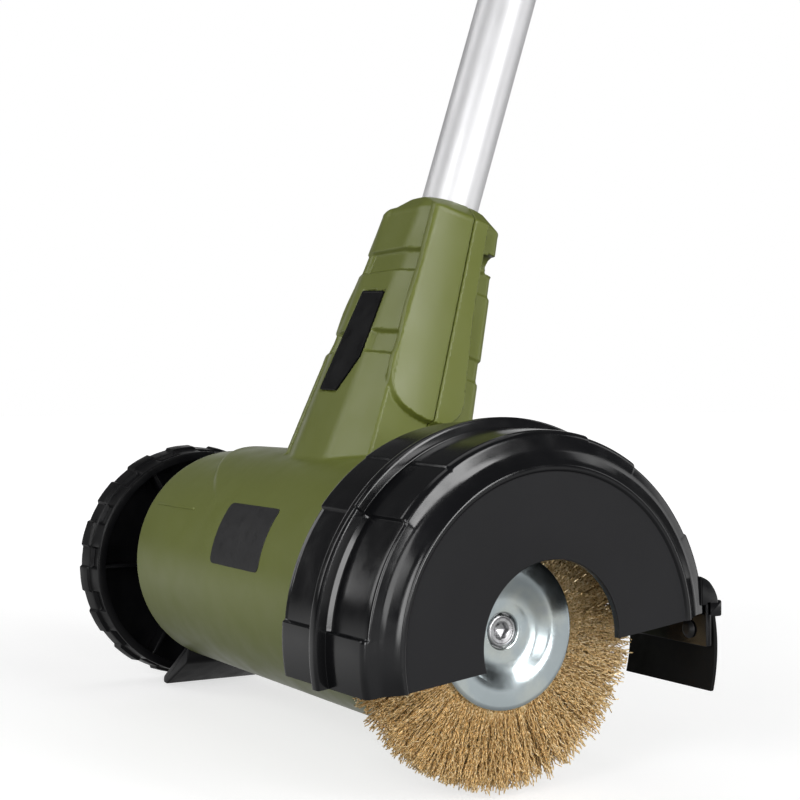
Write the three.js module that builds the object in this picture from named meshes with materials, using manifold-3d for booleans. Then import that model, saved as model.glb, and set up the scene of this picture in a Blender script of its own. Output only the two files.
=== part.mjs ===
// Electric weed brush. A wire brush runs on a geared motor head under a half-drum guard, beside a
// guide wheel, at the foot of a telescopic pole with a loop handle.
// Millimetres, +Z up. In the head the spindle lies along Y, +Y towards the guide wheel, +X towards
// the user. The pole leans towards the user in the XZ plane. The origin is in the hand grip.
import * as THREE from 'three';
import { mergeVertices } from 'three/addons/utils/BufferGeometryUtils.js';
import Module from 'manifold-3d';

const wasm = await Module();
wasm.setup();
const degrees = Math.PI / 180;

// Fits
const seatGap = 0.3;
const slideGap = 0.4;
const overrun = 3;
const farCut = 400;
const weldTolerance = 0.001;

// Housing body, around an axis that lies above the spindle's
const bodyRadius = 49.6;
const bodyWall = 2.6;
const bodyLift = 7;
const bodyFront = 31.5;
const bodyEnd = 231;
const bodyChamfer = 2.4;
const saddleLift = 2.8;
const saddleEnd = 212;
const saddleRakeShare = 2.1;
const frontWall = 3;
const seamGap = 0.3;
const ribWall = 3;

// Stem, the line of the pole, through the body axis
const stemY = 118;
const stemLean = 17.8 * degrees;

// Neck, a tapered box along the stem, measured from the body axis
const neckShoulder = 155;
const rimHeight = 12;
const neckRim = neckShoulder + rimHeight;
const neckFoot = 18;
const rimWall = 2.2;
const rimBendShare = 0.62;
const rimWaistShare = 0.36;
const shoulderFront = 19.6;
const shoulderRear = 16.8;
const shoulderDepth = 20.2;
const footFront = 33;
const footRear = 27.4;
const footDepth = 37.4;
const shoulderRound = 8;
const footRound = 12;
const padRise = 1.7;
const padInset = 3.2;
const padLength = 88;
const padFoot = neckShoulder - padLength;
const padRound = 22;
const bandDepth = 1.2;
const bandLength = 9.3;
const bandDrop = 27;
const upperBandFoot = neckShoulder - bandDrop;
const bandPitch = 37;
const lowerBandFoot = upperBandFoot - bandPitch;

// Name plate on the neck's front face
const plateDrop = 36;
const plateHeight = 46;
const plateHead = neckShoulder - plateDrop;
const plateFoot = plateHead - plateHeight;
const plateLeft = 16;
const plateRight = 7;
const plateBevelHeight = 16;
const plateBevelWidth = 9;
const plateSlant = 4;
const plateThickness = 0.9;
const plateRecess = 1;

// Rating label on the body, and the mould rib beside it
const labelStart = 99.8;
const labelEnd = 146.3;
const labelLow = 7.5 * degrees;
const labelHigh = 38.6 * degrees;
const labelRecess = 0.6;
const mouldRibStart = 180;
const mouldRibEnd = 223;
const mouldRibAngle = 32 * degrees;
const mouldRibHalf = 0.6 * degrees;
const mouldRibHeight = 0.4;

// Brush
const brushRadius = 55;
const brushPack = 15.4;
const brushFlare = 5;
const discRadius = 27.6;
const discSheet = 1.5;
const discFlat = 20;
const discDish = 14.5;
const dishDepth = 2.5;
const wireRoot = 26.2;
const wireRingBore = 21.4;
const wireCrimp = 0.9;
const wireTipScatter = 1.8;
const wireColumns = 50;
const wireRows = 3;
const wireLevelShares = [0.5, 1];
const wireShrinkShare = 0.38;
const goldenShare = 0.618034;

// Arbor
const screwHead = 5.8;
const screwHeadHeight = 4;
const screwSink = 3.2;
const arborThread = 3;
const arborReach = 21;
const hexSocket = 3.4;
const hexDepth = 2.6;
const bushRadius = 13.6;
const bushWeb = 2;
const spindleRadius = 6;
const flangeRadius = 13;
const flangeThickness = 4.5;
const collarRadius = 8;

// Gear train
const gearModule = 1.25;
const gearTeeth = 28;
const pinionTeeth = 7;
const gearFace = 8;
const gearStart = 46;
const gearBacklash = 0.36;
const addendumShare = 0.9;
const dedendumShare = 1.2;
const tipShare = 0.5;
const rootShare = 1.35;
const gearSeat = 7;

// Bearings and the plate that carries them
const ballRadius = 14;
const ballWidth = 8;
const rotorBallRadius = 11;
const rotorBallWidth = 7;
const spindleBushRadius = 8;
const spindleJournal = 5;
const spindleTail = 1.4;
const bearingPlateStart = 57;
const bearingPlateFloor = 2;
const pinionRoom = 6;
const pocketWall = 3.4;
const grooveRib = 3;
const pinionOverlap = 0.8;

// Motor
const rotorShaft = 4;
const fanStart = 70;
const statorShare = 0.605;
const statorRadius = statorShare * bodyRadius;
const fanClearance = 2;
const fanRadius = statorRadius - fanClearance;
const fanHub = 8;
const fanDisc = 2;
const fanBladeHeight = 8;
const fanBlades = 6;
const bladeThickness = 1.6;
const stackStart = 90;
const stackLength = 42;
const boreShare = 0.62;
const coilInnerShare = 0.735;
const coilOuterShare = 0.855;
const statorBore = boreShare * statorRadius;
const coilInner = coilInnerShare * statorRadius;
const coilOuter = coilOuterShare * statorRadius;
const coilSpread = 50 * degrees;
const poleHalf = 7;
const coilOverhang = 6;
const airGap = 0.6;
const armatureRadius = statorBore - airGap;
const slotCount = 8;
const slotWidth = 3;
const slotShare = 0.39;
const slotDepth = slotShare * armatureRadius;
const windingOverhang = 5;
const windingBore = 8;
const windingInset = 1.6;
const shaftTail = 3;
const commutatorStart = 143;
const commutatorRadius = 11;
const commutatorLength = 14;
const rearBallStart = 166;
const holderWidth = 10;
const holderHeight = 9;
const holderLength = 18;
const holderWall = 1;
const holderStandOff = 1;
const carbonLength = 15;

// Guard
const archRadius = 27.6;
const guardFace = 27.3;
const lipInner = 57.4;
const lipRadius = 59.4;
const lipHeight = 0.8;
const bevelRadius = 67.8;
const bevelSet = 2.4;
const bandFrontRadius = 70.2;
const bandFrontSet = 5.4;
const bandBackRadius = 72.2;
const guardWall = 2.8;
const finRadius = 75.4;
const finStart = 1.8;
const finWidth = 4.2;
const guardBack = 31.2;
const guardBore = 20;
const guardHub = 34;
const guardTilt = 7.4 * degrees;
const guardDrop = 4.3;
const panelRecess = 1.3;
const topPanelRise = 0.6;
const topPanelHalf = 24 * degrees;
const sidePanelStart = 43.5 * degrees;
const sidePanelEnd = 74.5 * degrees;
const panelMargin = 2;
const guardScrewRing = 27;
const guardScrewAngle = 52 * degrees;
const guardScrewLength = 14;

// Flap under a ledge at the guard's rear end
const flapHeight = 27;
const flapThickness = 1.8;
const flapBow = 2;
const flapSide = 24;
const flapRoot = 72.5;
const ledgeTop = 6.6;
const ledgeReach = 6.4;
const ledgeThickness = 3;
const tabHeight = 11;
const tabWall = 2.4;
const gussetHeight = 12;
const gussetWall = 2.2;
const rivetRadius = 2;
const rivetHead = 3.6;
const rivetHeadHeight = 1.6;
const rivetSpread = 15;

// Guide wheel, coaxial with the spindle
const wheelStandOff = 36.7;
const wheelWidth = 19.6;
const wheelNear = bodyEnd + wheelStandOff;
const wheelFar = wheelNear + wheelWidth;
const treadNear = 54.3;
const treadFar = 56.8;
const rimNear = 51.4;
const rimFar = 52.6;
const padHeight = 1.3;
const padWidth = 9.3;
const padStart = wheelFar - padWidth;
const padCount = 16;
const treadPadShare = 0.6;
const webSet = 7.8;
const webStart = wheelFar - webSet;
const webWall = 3;
const wheelHub = 12;
const wheelRibs = 6;
const wheelRibWall = 1.8;
const wheelRibReach = 8.5;
const wheelRibStart = webStart - wheelRibReach;
const capRadius = 15;
const capProud = 2;
const capWall = 2;
const capRim = 2.6;
const capDepth = 4.1;
const capFloor = wheelFar - capDepth;

// Wheel carrier, which closes the body's end and holds the axle
const carrierSpigot = 5;
const carrierFlange = 3;
const carrierBoss = 13;
const bossSetBack = 5.7;
const carrierBossEnd = wheelNear - bossSetBack;
const axleRadius = 5;
const axleHead = 8;
const axleHeadHeight = 3;
const ventCount = 6;
const ventWidth = 6;
const ventInner = 25;
const ventMargin = 10.6;
const ventOuter = bodyRadius - ventMargin;
const carrierScrewInset = 7.6;
const carrierScrewRing = bodyRadius - carrierScrewInset;
const skidHalfWidth = 24;
const skidInset = 13.6;
const skidHead = bodyRadius - skidInset;
const skidWall = 3;
const skidEnd = carrierBossEnd;
const skidDrop = 21;
const skidFoot = skidHead + skidDrop;

// Pole, measured along the stem
const tubeRadius = 12.5;
const tubeWall = 1.5;
const tubeFoot = 62;
const tubeHead = 760;
const outerTubeHead = 1008;

// Lead inside the pole
const leadRadius = 3;
const leadStart = 50;
const leadEnd = 742;

// Twist lock
const lockRadius = 21;
const lockFoot = 566;
const lockLength = 66;
const lockHead = lockFoot + lockLength;
const tubeInLock = 32;
const outerTubeFoot = lockHead - tubeInLock;
const lockNose = 16.5;
const lockTaper = 9;
const lockGrooves = 6;
const lockGrooveRadius = 2.4;

// Auxiliary handle
const clampCentre = 812;
const clampRadius = 21.5;
const clampHeight = 36;
const lugReach = 34;
const lugRadius = 10;
const lugHalfWidth = 14;
const clampSlit = 1.6;
const boltRadius = 4;
const boltHead = 8;
const boltHeadHeight = 5;
const bowHeight = 104;
const bowHalfWidth = 54;
const bowTube = 8.5;
const bowGrip = 13;
const bowGripHalf = 30;
const bowLean = -28 * degrees;
const bowSteps = 18;
const bowSides = 8;
const bowRootShare = 0.18;
const bowKneeShare = 0.26;
const bowSplayShare = 0.46;
const bowShoulderShare = 0.7;
const bowBendShare = 0.9;
const bowSplayWidthShare = 0.72;
const bowCornerShare = 0.88;
const bowCrownShare = 0.975;
const eyeRadius = 12;
const eyeWidth = 10;
const knobRadius = 17;
const knobHeight = 15;
const knobLobes = 6;
const knobLobeCut = 5;

// Loop handle
const handleFoot = 946;
const socketRadius = 21;
const socketHead = 1034;
const loopLong = 84;
const loopShort = 54;
const loopTurn = 38 * degrees;
const loopOut = 40;
const loopUp = 1056;
const gripHoleLong = 50;
const gripHoleShort = 24;
const gripHoleDrop = 8;
const handleHalf = 17;
const handleBevel = 6;
const handleWall = 2.8;
const handleSeam = 0.3;

// Trigger, lock button and switch in the loop's top bar
const triggerPivotAlong = -30;
const triggerPivotUp = 21;
const triggerLength = 44;
const triggerHeight = 15;
const triggerHeel = 5;
const triggerCrown = 4;
const triggerHalf = 5.5;
const triggerToeRoom = 2;
const triggerTravel = 7;
const pinRadius = 2.5;
const buttonAlong = -46;
const buttonUp = 27;
const buttonRadius = 6.5;
const buttonProud = 5;
const buttonLength = 14;
const buttonStem = 3.4;
const buttonStemLength = 7;
const buttonGuideWall = 2.2;
const switchAlong = -8;
const switchUp = 33;
const switchLength = 26;
const switchHeight = 12;
const switchHalf = 8;

// Cord inlet at the loop's rear end
const glandRadius = 8;
const glandBore = 4.2;
const glandRoot = 75;
const glandTip = 98;
const glandNose = 6;
const glandFlange = 11;
const glandFlangeWall = 3;
const glandCollar = 10;
const glandCollarStart = 85;

// Screws
const screwShank = 1.9;
const screwHeadRadius = 3.7;
const screwHeadThickness = 2.4;
const screwPocket = 4.4;
const screwBoss = 6;
const screwLength = 20;
const caseScrewOffset = 17.2;
const caseScrewDrop = 13;
const caseScrewUpper = neckShoulder - caseScrewDrop;
const caseScrewSeat = 8;
const lowerScrewNear = 80;
const lowerScrewFar = 205;
const lowerScrewInset = 11.6;
const lowerScrewDrop = bodyRadius - lowerScrewInset;
const handleScrewRear = 67;
const handleScrewRearDrop = 6;
const handleScrewFront = -22;
const handleScrewFrontDrop = 41;
const handleScrewSeat = 9;

// Segment counts
const fine = 26;
const medium = 14;
const coarse = 8;
const small = 6;
const cornerSteps = 2;
const guardSides = 30;
const wheelSides = 24;
const loopSteps = 9;
const hexSides = 6;

// Solids
function indexed(geometry) {
  const vertProperties = new Float32Array(geometry.attributes.position.array);
  const triVerts = new Uint32Array(geometry.index.array);
  return new wasm.Manifold(new wasm.Mesh({ numProp: 3, vertProperties, triVerts }));
}

function solid(geometry) {
  const bare = geometry.clone();
  bare.deleteAttribute('normal');
  bare.deleteAttribute('uv');
  return indexed(mergeVertices(bare, weldTolerance));
}

function skinOf(positions, faces) {
  const geometry = new THREE.BufferGeometry();
  geometry.setAttribute('position', new THREE.Float32BufferAttribute(positions, 3));
  geometry.setIndex(faces);
  return geometry;
}

function geometryOf(body) {
  const mesh = body.getMesh();
  const positions = [];
  for (let vertex = 0; vertex < mesh.numVert; vertex += 1) {
    const start = vertex * mesh.numProp;
    positions.push(...mesh.vertProperties.subarray(start, start + 3));
  }
  return skinOf(positions, Array.from(mesh.triVerts));
}

function union(...bodies) {
  return bodies.reduce((sum, body) => sum.add(body));
}

function minus(body, ...cutters) {
  return cutters.reduce((rest, cutter) => rest.subtract(cutter), body);
}

function moved(body, matrix) {
  return indexed(geometryOf(body).applyMatrix4(matrix));
}

function point(x, y, z) {
  return new THREE.Vector3(x, y, z);
}

// A block from its lowest to its highest corner
function block(low, high) {
  const size = new THREE.Vector3().subVectors(high, low);
  const centre = new THREE.Vector3().addVectors(high, low).divideScalar(2);
  const geometry = new THREE.BoxGeometry(size.x, size.y, size.z);
  return solid(geometry.translate(centre.x, centre.y, centre.z));
}

// A round bar along Y between two ends
function bar(radius, start, end, { x = 0, z = 0, sides = medium } = {}) {
  const geometry = new THREE.CylinderGeometry(radius, radius, end - start, sides);
  return solid(geometry.translate(x, (start + end) / 2, z));
}

// A round bar along Z between two ends
function post(radius, foot, head, { x = 0, y = 0, sides = medium } = {}) {
  const geometry = new THREE.CylinderGeometry(radius, radius, head - foot, sides);
  geometry.rotateX(Math.PI / 2);
  return solid(geometry.translate(x, y, (foot + head) / 2));
}

// A round bar along X between two ends
function rod(radius, start, end, { y = 0, z = 0, sides = small } = {}) {
  const geometry = new THREE.CylinderGeometry(radius, radius, end - start, sides);
  geometry.rotateZ(Math.PI / 2);
  return solid(geometry.translate((start + end) / 2, y, z));
}

// A body of revolution about Y. The section is a list of [radius, y], and it either starts and ends
// on the axis or goes all the way round.
function turned(section, sides = medium) {
  const area = section.reduce((sum, [r, y], index) => {
    const [nextR, nextY] = section[(index + 1) % section.length];
    return sum + r * nextY - nextR * y;
  }, 0);
  const outline = area > 0 ? section.slice() : section.slice().reverse();
  if (outline[0][0] !== 0) outline.push(outline[0]);
  return solid(new THREE.LatheGeometry(outline.map(([r, y]) => new THREE.Vector2(r, y)), sides));
}

// A ring about Y
function ring(inner, outer, start, end, sides = medium) {
  return turned([[inner, start], [outer, start], [outer, end], [inner, end]], sides);
}

// A prism along Y whose outline lies in the XZ plane
function prism(shape, start, end, { bevel = 0, curveSegments = coarse } = {}) {
  const geometry = new THREE.ExtrudeGeometry(shape, {
    depth: end - start - 2 * bevel,
    bevelEnabled: bevel > 0,
    bevelThickness: bevel,
    bevelSize: bevel,
    bevelOffset: -bevel,
    bevelSegments: 1,
    curveSegments,
  });
  geometry.rotateX(Math.PI / 2);
  return solid(geometry.translate(0, end - bevel, 0));
}

function outline(points) {
  return new THREE.Shape(points.map(([across, up]) => new THREE.Vector2(across, up)));
}

// A prism along X whose outline is a list of [y, z]
function slice(points, start, end) {
  const geometry = new THREE.ExtrudeGeometry(outline(points), {
    depth: end - start,
    bevelEnabled: false,
  });
  geometry.applyMatrix4(new THREE.Matrix4().makeBasis(point(0, 1, 0), point(0, 0, 1), point(1, 0, 0)));
  return solid(geometry.translate(start, 0, 0));
}

// A wedge about Y between two angles, which run from +X towards +Z
function wedge(from, to, radius, start, end) {
  const middle = (from + to) / 2;
  const reach = radius / Math.cos((to - from) / 2);
  return prism(outline([
    [0, 0],
    [radius * Math.cos(from), radius * Math.sin(from)],
    [reach * Math.cos(middle), reach * Math.sin(middle)],
    [radius * Math.cos(to), radius * Math.sin(to)],
  ]), start, end);
}

// Copies of a body turned about Y
function around(body, count, offset = 0) {
  const copies = [];
  for (let index = 0; index < count; index += 1) {
    const angle = offset + (2 * Math.PI * index) / count;
    copies.push(moved(body, new THREE.Matrix4().makeRotationY(-angle)));
  }
  return union(...copies);
}

// A skin through sections of equal point counts, closed at both ends
function loft(sections) {
  const count = sections[0].length;
  const top = (sections.length - 1) * count;
  const faces = [];
  for (let start = 0; start < top; start += count) {
    for (let side = 0; side < count; side += 1) {
      const here = start + side;
      const next = start + ((side + 1) % count);
      faces.push(here, next, next + count, here, next + count, here + count);
    }
  }
  for (let side = 1; side < count - 1; side += 1) {
    faces.push(0, side + 1, side, top, top + side, top + side + 1);
  }
  return solid(skinOf(sections.flat().flatMap((corner) => corner.toArray()), faces));
}

// A tube of even section along a smooth path
function hose(radius, points, steps, sides) {
  const section = new THREE.Shape();
  for (let side = 0; side < sides; side += 1) {
    const angle = (2 * Math.PI * side) / sides;
    const corner = [radius * Math.cos(angle), radius * Math.sin(angle)];
    if (side === 0) section.moveTo(...corner);
    else section.lineTo(...corner);
  }
  const extrudePath = new THREE.CatmullRomCurve3(points);
  return solid(new THREE.ExtrudeGeometry(section, { steps, extrudePath, bevelEnabled: false }));
}

// Frames
const bodyFrame = new THREE.Matrix4().makeTranslation(0, 0, bodyLift);
const stemFrame = new THREE.Matrix4().makeRotationY(stemLean);
stemFrame.setPosition(0, stemY, bodyLift);
const boreRadius = bodyRadius - bodyWall;

// The motor lies on the seam's plane, one gear centre distance from the spindle
const gearCentres = (gearModule * (gearTeeth + pinionTeeth)) / 2;
const liftAlongStem = bodyLift * Math.cos(stemLean);
const motorRise = Math.sqrt(liftAlongStem ** 2 - bodyLift ** 2 + gearCentres ** 2) - liftAlongStem;
const motorX = motorRise * Math.sin(stemLean);
const motorZ = bodyLift + motorRise * Math.cos(stemLean);
const motorFrame = new THREE.Matrix4().makeTranslation(motorX, 0, motorZ);
const meshAngle = Math.atan2(motorZ, motorX);

function onBody(body) {
  return moved(body, bodyFrame);
}

function onStem(body) {
  return moved(body, stemFrame);
}

function onMotor(body) {
  return moved(body, motorFrame);
}

// Neck
function boxSection(front, rear, depth, round, level) {
  const loop = [];
  [[rear, depth], [-front, depth], [-front, -depth], [rear, -depth]].forEach(([x, y], index) => {
    const centreX = x - Math.sign(x) * round;
    const centreY = y - Math.sign(y) * round;
    for (let step = 0; step <= cornerSteps; step += 1) {
      const angle = (Math.PI / 2) * (index + step / cornerSteps);
      loop.push(point(centreX + round * Math.cos(angle), centreY + round * Math.sin(angle), level));
    }
  });
  return loop;
}

// The neck's section at a level, grown or shrunk all round, and deeper along Y
function neckSection(level, grow = 0, deeper = 0) {
  const share = (neckShoulder - level) / (neckShoulder - neckFoot);
  const mix = THREE.MathUtils.lerp;
  return boxSection(
    mix(shoulderFront, footFront, share) + grow,
    mix(shoulderRear, footRear, share) + grow,
    mix(shoulderDepth, footDepth, share) + grow + deeper,
    mix(shoulderRound, footRound, share) + grow,
    level,
  );
}

function neckTaper(grow, deeper = 0) {
  return loft([neckSection(neckFoot, grow, deeper), neckSection(neckShoulder, grow, deeper)]);
}

function neckOutside() {
  const rimRadius = tubeRadius + seatGap + rimWall;
  const mix = THREE.MathUtils.lerp;
  return loft([
    neckSection(neckFoot),
    neckSection(neckShoulder),
    boxSection(
      mix(shoulderFront, rimRadius, rimWaistShare),
      mix(shoulderRear, rimRadius, rimWaistShare),
      mix(shoulderDepth, rimRadius, rimWaistShare),
      shoulderRound,
      mix(neckShoulder, neckRim, rimBendShare),
    ),
    boxSection(rimRadius, rimRadius, rimRadius, rimRadius - seatGap, neckRim),
  ]);
}

function sidePads() {
  const centre = (shoulderRear - shoulderFront) / 2;
  const shape = new THREE.Shape();
  shape.moveTo(centre - padRound, neckShoulder);
  shape.lineTo(centre - padRound, padFoot + padRound);
  shape.absarc(centre, padFoot + padRound, padRound, Math.PI, 2 * Math.PI, false);
  shape.lineTo(centre + padRound, neckShoulder);
  shape.closePath();
  return neckTaper(-padInset, padInset + padRise).intersect(prism(shape, -farCut, farCut));
}

// A level slab of the neck between two heights
function level(foot, head) {
  return block(point(-farCut, -farCut, foot), point(farCut, farCut, head));
}

function gripBands() {
  const slabs = [upperBandFoot, lowerBandFoot].map((foot) => level(foot, foot + bandLength));
  return minus(union(...slabs), neckTaper(-bandDepth), neckTaper(-padInset, padInset + overrun));
}

// The name plate's slab, which lies on the neck's raked front face
const rakeShare = (footFront - shoulderFront) / (neckShoulder - neckFoot);
const plateFrame = new THREE.Matrix4().makeRotationY(Math.atan(rakeShare));
plateFrame.setPosition(-footFront + rakeShare * (plateFoot - neckFoot), 0, plateFoot);
plateFrame.premultiply(stemFrame);

function plateSlab(outset, depth, proud) {
  const height = plateHead - plateFoot;
  const face = slice([
    [plateLeft + outset, -outset],
    [plateLeft - plateSlant + outset, height + outset],
    [-plateRight - outset, height + outset],
    [-plateRight - outset, plateBevelHeight - outset],
    [-plateRight + plateBevelWidth - outset, -outset],
  ], -proud, depth);
  return moved(face, plateFrame);
}

// The rating label's curved patch
function labelPatch(inner, outer, outset) {
  const patch = ring(inner, outer, labelStart - outset, labelEnd + outset, fine);
  const spread = outset / bodyRadius;
  const sector = wedge(
    Math.PI - labelHigh - spread,
    Math.PI - labelLow + spread,
    outer + overrun,
    labelStart - overrun,
    labelEnd + overrun,
  );
  return onBody(patch.intersect(sector));
}

function mouldRib() {
  const root = boreRadius + bodyWall / 2;
  const strip = ring(root, bodyRadius + mouldRibHeight, mouldRibStart, mouldRibEnd, fine);
  const angle = Math.PI - mouldRibAngle;
  const sector = wedge(
    angle - mouldRibHalf,
    angle + mouldRibHalf,
    bodyRadius + overrun,
    mouldRibStart,
    mouldRibEnd,
  );
  return onBody(strip.intersect(sector));
}

// Screws. Each kind gives its own body and the room that it takes.
function screwBody(length) {
  return turned([
    [0, -screwHeadThickness],
    [screwHeadRadius, -screwHeadThickness],
    [screwHeadRadius, 0],
    [screwShank, 0],
    [screwShank, length],
    [0, length],
  ], small);
}

function screwRoom(length, pocketLength) {
  return union(
    bar(screwShank + seatGap, -seatGap, length + seatGap, { sides: small }),
    bar(screwPocket, -pocketLength, seatGap, { sides: coarse }),
  );
}

// Places of the screws: the frame's +Y runs along the shank, away from the head
function screwFrame(place, direction) {
  const turn = new THREE.Quaternion().setFromUnitVectors(point(0, 1, 0), direction);
  return new THREE.Matrix4().compose(place, turn, point(1, 1, 1));
}

function stemScrew(y, z, seat) {
  return new THREE.Matrix4().multiplyMatrices(stemFrame, screwFrame(point(seat, y, z), point(-1, 0, 0)));
}

const caseScrews = [
  stemScrew(-caseScrewOffset, caseScrewUpper, caseScrewSeat),
  stemScrew(caseScrewOffset, caseScrewUpper, caseScrewSeat),
  stemScrew(lowerScrewNear - stemY, -lowerScrewDrop, caseScrewSeat),
  stemScrew(lowerScrewFar - stemY, -lowerScrewDrop, caseScrewSeat),
];

const guardScrewSeat = guardBack - guardWall - seatGap;
const guardScrews = [guardScrewAngle, Math.PI - guardScrewAngle].map((angle) => screwFrame(
  point(guardScrewRing * Math.cos(angle), guardScrewSeat, guardScrewRing * Math.sin(angle)),
  point(0, 1, 0),
));

const carrierFace = bodyEnd + seatGap + carrierFlange;
const carrierScrews = [-1, 1].map((side) => screwFrame(
  point(side * carrierScrewRing, carrierFace + seatGap, bodyLift),
  point(0, -1, 0),
));

// Housing
function saddle() {
  const hump = bar(bodyRadius, bodyFront, saddleEnd, { z: bodyLift + saddleLift, sides: fine });
  const crown = bodyLift + saddleLift + bodyRadius;
  return hump.subtract(slice([
    [saddleEnd, crown],
    [saddleEnd - farCut * saddleRakeShare, crown - farCut],
    [saddleEnd + overrun, crown - farCut],
    [saddleEnd + overrun, crown],
  ], -farCut, farCut));
}

function drum() {
  return onBody(turned([
    [0, bodyFront],
    [bodyRadius - bodyChamfer, bodyFront],
    [bodyRadius, bodyFront + bodyChamfer],
    [bodyRadius, bodyEnd - bodyChamfer],
    [bodyRadius - bodyChamfer, bodyEnd],
    [0, bodyEnd],
  ], fine));
}

const commutatorMiddle = commutatorStart + commutatorLength / 2;
const pocketEnd = bodyFront + frontWall + ballWidth + seatGap;
const bearingPlateEnd = bearingPlateStart + bearingPlateFloor + rotorBallWidth;

// A box around the motor's axis, from an inner to an outer distance on one side
function sideBox(side, inner, outer, halfLength, halfWidth) {
  const near = Math.min(side * inner, side * outer);
  const far = Math.max(side * inner, side * outer);
  return block(
    point(near, commutatorMiddle - halfLength, -halfWidth),
    point(far, commutatorMiddle + halfLength, halfWidth),
  );
}

function holderRoom(side) {
  return sideBox(
    side,
    commutatorRadius,
    commutatorRadius + holderStandOff + holderLength + seatGap,
    holderHeight / 2 + seatGap,
    holderWidth / 2 + seatGap,
  );
}

function screwBosses() {
  const upper = [-caseScrewOffset, caseScrewOffset].map((y) => (
    rod(screwBoss, -farCut, farCut, { y, z: caseScrewUpper, sides: coarse })
  ));
  const lower = [lowerScrewNear, lowerScrewFar].map((y) => (
    rod(screwBoss, -farCut, farCut, { y: y - stemY, z: -lowerScrewDrop, sides: coarse })
  ));
  const spigotStart = bodyEnd - carrierSpigot;
  const carrierPosts = [-1, 1].map((side) => (
    bar(screwBoss, spigotStart - screwLength, spigotStart - seatGap, {
      x: side * carrierScrewRing,
      z: bodyLift,
      sides: coarse,
    })
  ));
  const guardPosts = [guardScrewAngle, Math.PI - guardScrewAngle].map((angle) => (
    bar(screwBoss, bodyFront, bodyFront + guardScrewLength, {
      x: guardScrewRing * Math.cos(angle),
      z: guardScrewRing * Math.sin(angle),
      sides: coarse,
    })
  ));
  return union(onStem(union(...upper, ...lower)), ...carrierPosts, ...guardPosts);
}

// A chamber across the body's bore
function chamber(start, end) {
  return bar(boreRadius, start, end, { z: bodyLift });
}

// A chamber in the neck between two levels
function neckChamber(foot, head) {
  return loft([neckSection(foot, -bodyWall), neckSection(head, -bodyWall)]);
}

// The hollow of the body and neck, with its bulkheads, ribs and screw bosses left standing
function rooms() {
  const ribRadius = boreRadius - grooveRib;
  const seatStart = bearingPlateStart - seatGap;
  const gearRoom = turned([
    [0, bodyFront + frontWall],
    [boreRadius, bodyFront + frontWall],
    [boreRadius, seatStart - grooveRib],
    [ribRadius, seatStart - grooveRib],
    [ribRadius, seatStart],
    [boreRadius, seatStart],
    [boreRadius, stackStart + ribWall],
    [0, stackStart + ribWall],
  ]);
  const statorRibEnd = stackStart + stackLength - ribWall;
  const brushWallStart = commutatorMiddle - holderHeight / 2 - ribWall;
  const brushWallEnd = commutatorMiddle + holderHeight / 2 + ribWall;
  const hollow = union(
    onBody(gearRoom),
    chamber(stackStart + 2 * ribWall, statorRibEnd - ribWall),
    chamber(statorRibEnd, brushWallStart),
    chamber(brushWallEnd, rearBallStart - ribWall),
    chamber(rearBallStart + rotorBallWidth, bodyEnd + overrun),
    onStem(neckChamber(tubeFoot + ribWall, upperBandFoot - ribWall)),
    onStem(neckChamber(upperBandFoot, neckShoulder - ribWall)),
  );
  return minus(
    hollow,
    bar(ballRadius + seatGap + pocketWall, bodyFront, pocketEnd),
    screwBosses(),
  );
}

function housing() {
  const outside = union(drum(), saddle(), onStem(neckOutside()), onStem(sidePads()));
  const motorRoom = union(
    bar(statorRadius + seatGap, stackStart, stackStart + stackLength),
    bar(commutatorRadius + overrun, fanStart, rearBallStart - ribWall),
    bar(rotorShaft + slideGap, rearBallStart - 2 * ribWall, rearBallStart + overrun, { sides: coarse }),
    bar(rotorBallRadius + seatGap, rearBallStart, rearBallStart + rotorBallWidth + overrun),
    holderRoom(-1),
    holderRoom(1),
  );
  return minus(
    outside,
    rooms(),
    bar(ballRadius + seatGap, bodyFront + frontWall - seatGap, pocketEnd + overrun),
    bar(collarRadius + slideGap, bodyFront - overrun, bodyFront + frontWall + overrun),
    onMotor(motorRoom),
    onStem(post(tubeRadius + seatGap, tubeFoot - seatGap, neckRim + overrun)),
    onStem(leadBar(seatGap, bodyRadius - 2 * bodyWall, tubeFoot)),
    onStem(gripBands()),
    plateSlab(seatGap, plateRecess, overrun),
    labelPatch(bodyRadius - labelRecess, bodyRadius + overrun, seatGap),
    ...caseScrews.map((frame) => moved(screwRoom(screwLength, farCut), frame)),
    ...guardScrews.map((frame) => moved(screwRoom(guardScrewLength, overrun), frame)),
    ...carrierScrews.map((frame) => moved(screwRoom(screwLength, overrun), frame)),
  ).add(mouldRib());
}

function half(side) {
  const near = (side * seamGap) / 2;
  const far = side * farCut;
  return onStem(block(
    point(Math.min(near, far), -farCut, -farCut),
    point(Math.max(near, far), farCut, farCut),
  ));
}

function namePlate() {
  const slab = plateSlab(0, plateRecess - seatGap / 2, plateThickness - plateRecess);
  return slab.intersect(plateSlab(0, plateRecess - seatGap, farCut));
}

function ratingLabel() {
  return labelPatch(bodyRadius - labelRecess + seatGap, bodyRadius, 0);
}

// Bearings and the plate that carries two of them
function ballBearing(bore, outer, start, width) {
  return ring(bore, outer, start, start + width);
}

function bearingPlate() {
  const plate = bar(boreRadius - seatGap, bearingPlateStart, bearingPlateEnd, { z: bodyLift });
  const pocketStart = bearingPlateStart + bearingPlateFloor - seatGap;
  return minus(
    plate,
    bar(spindleBushRadius + seatGap, bearingPlateStart - overrun, bearingPlateEnd + overrun),
    onMotor(bar(rotorBallRadius + seatGap, pocketStart, bearingPlateEnd + overrun)),
    onMotor(bar(pinionRoom, bearingPlateStart - overrun, bearingPlateEnd)),
  );
}

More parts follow.
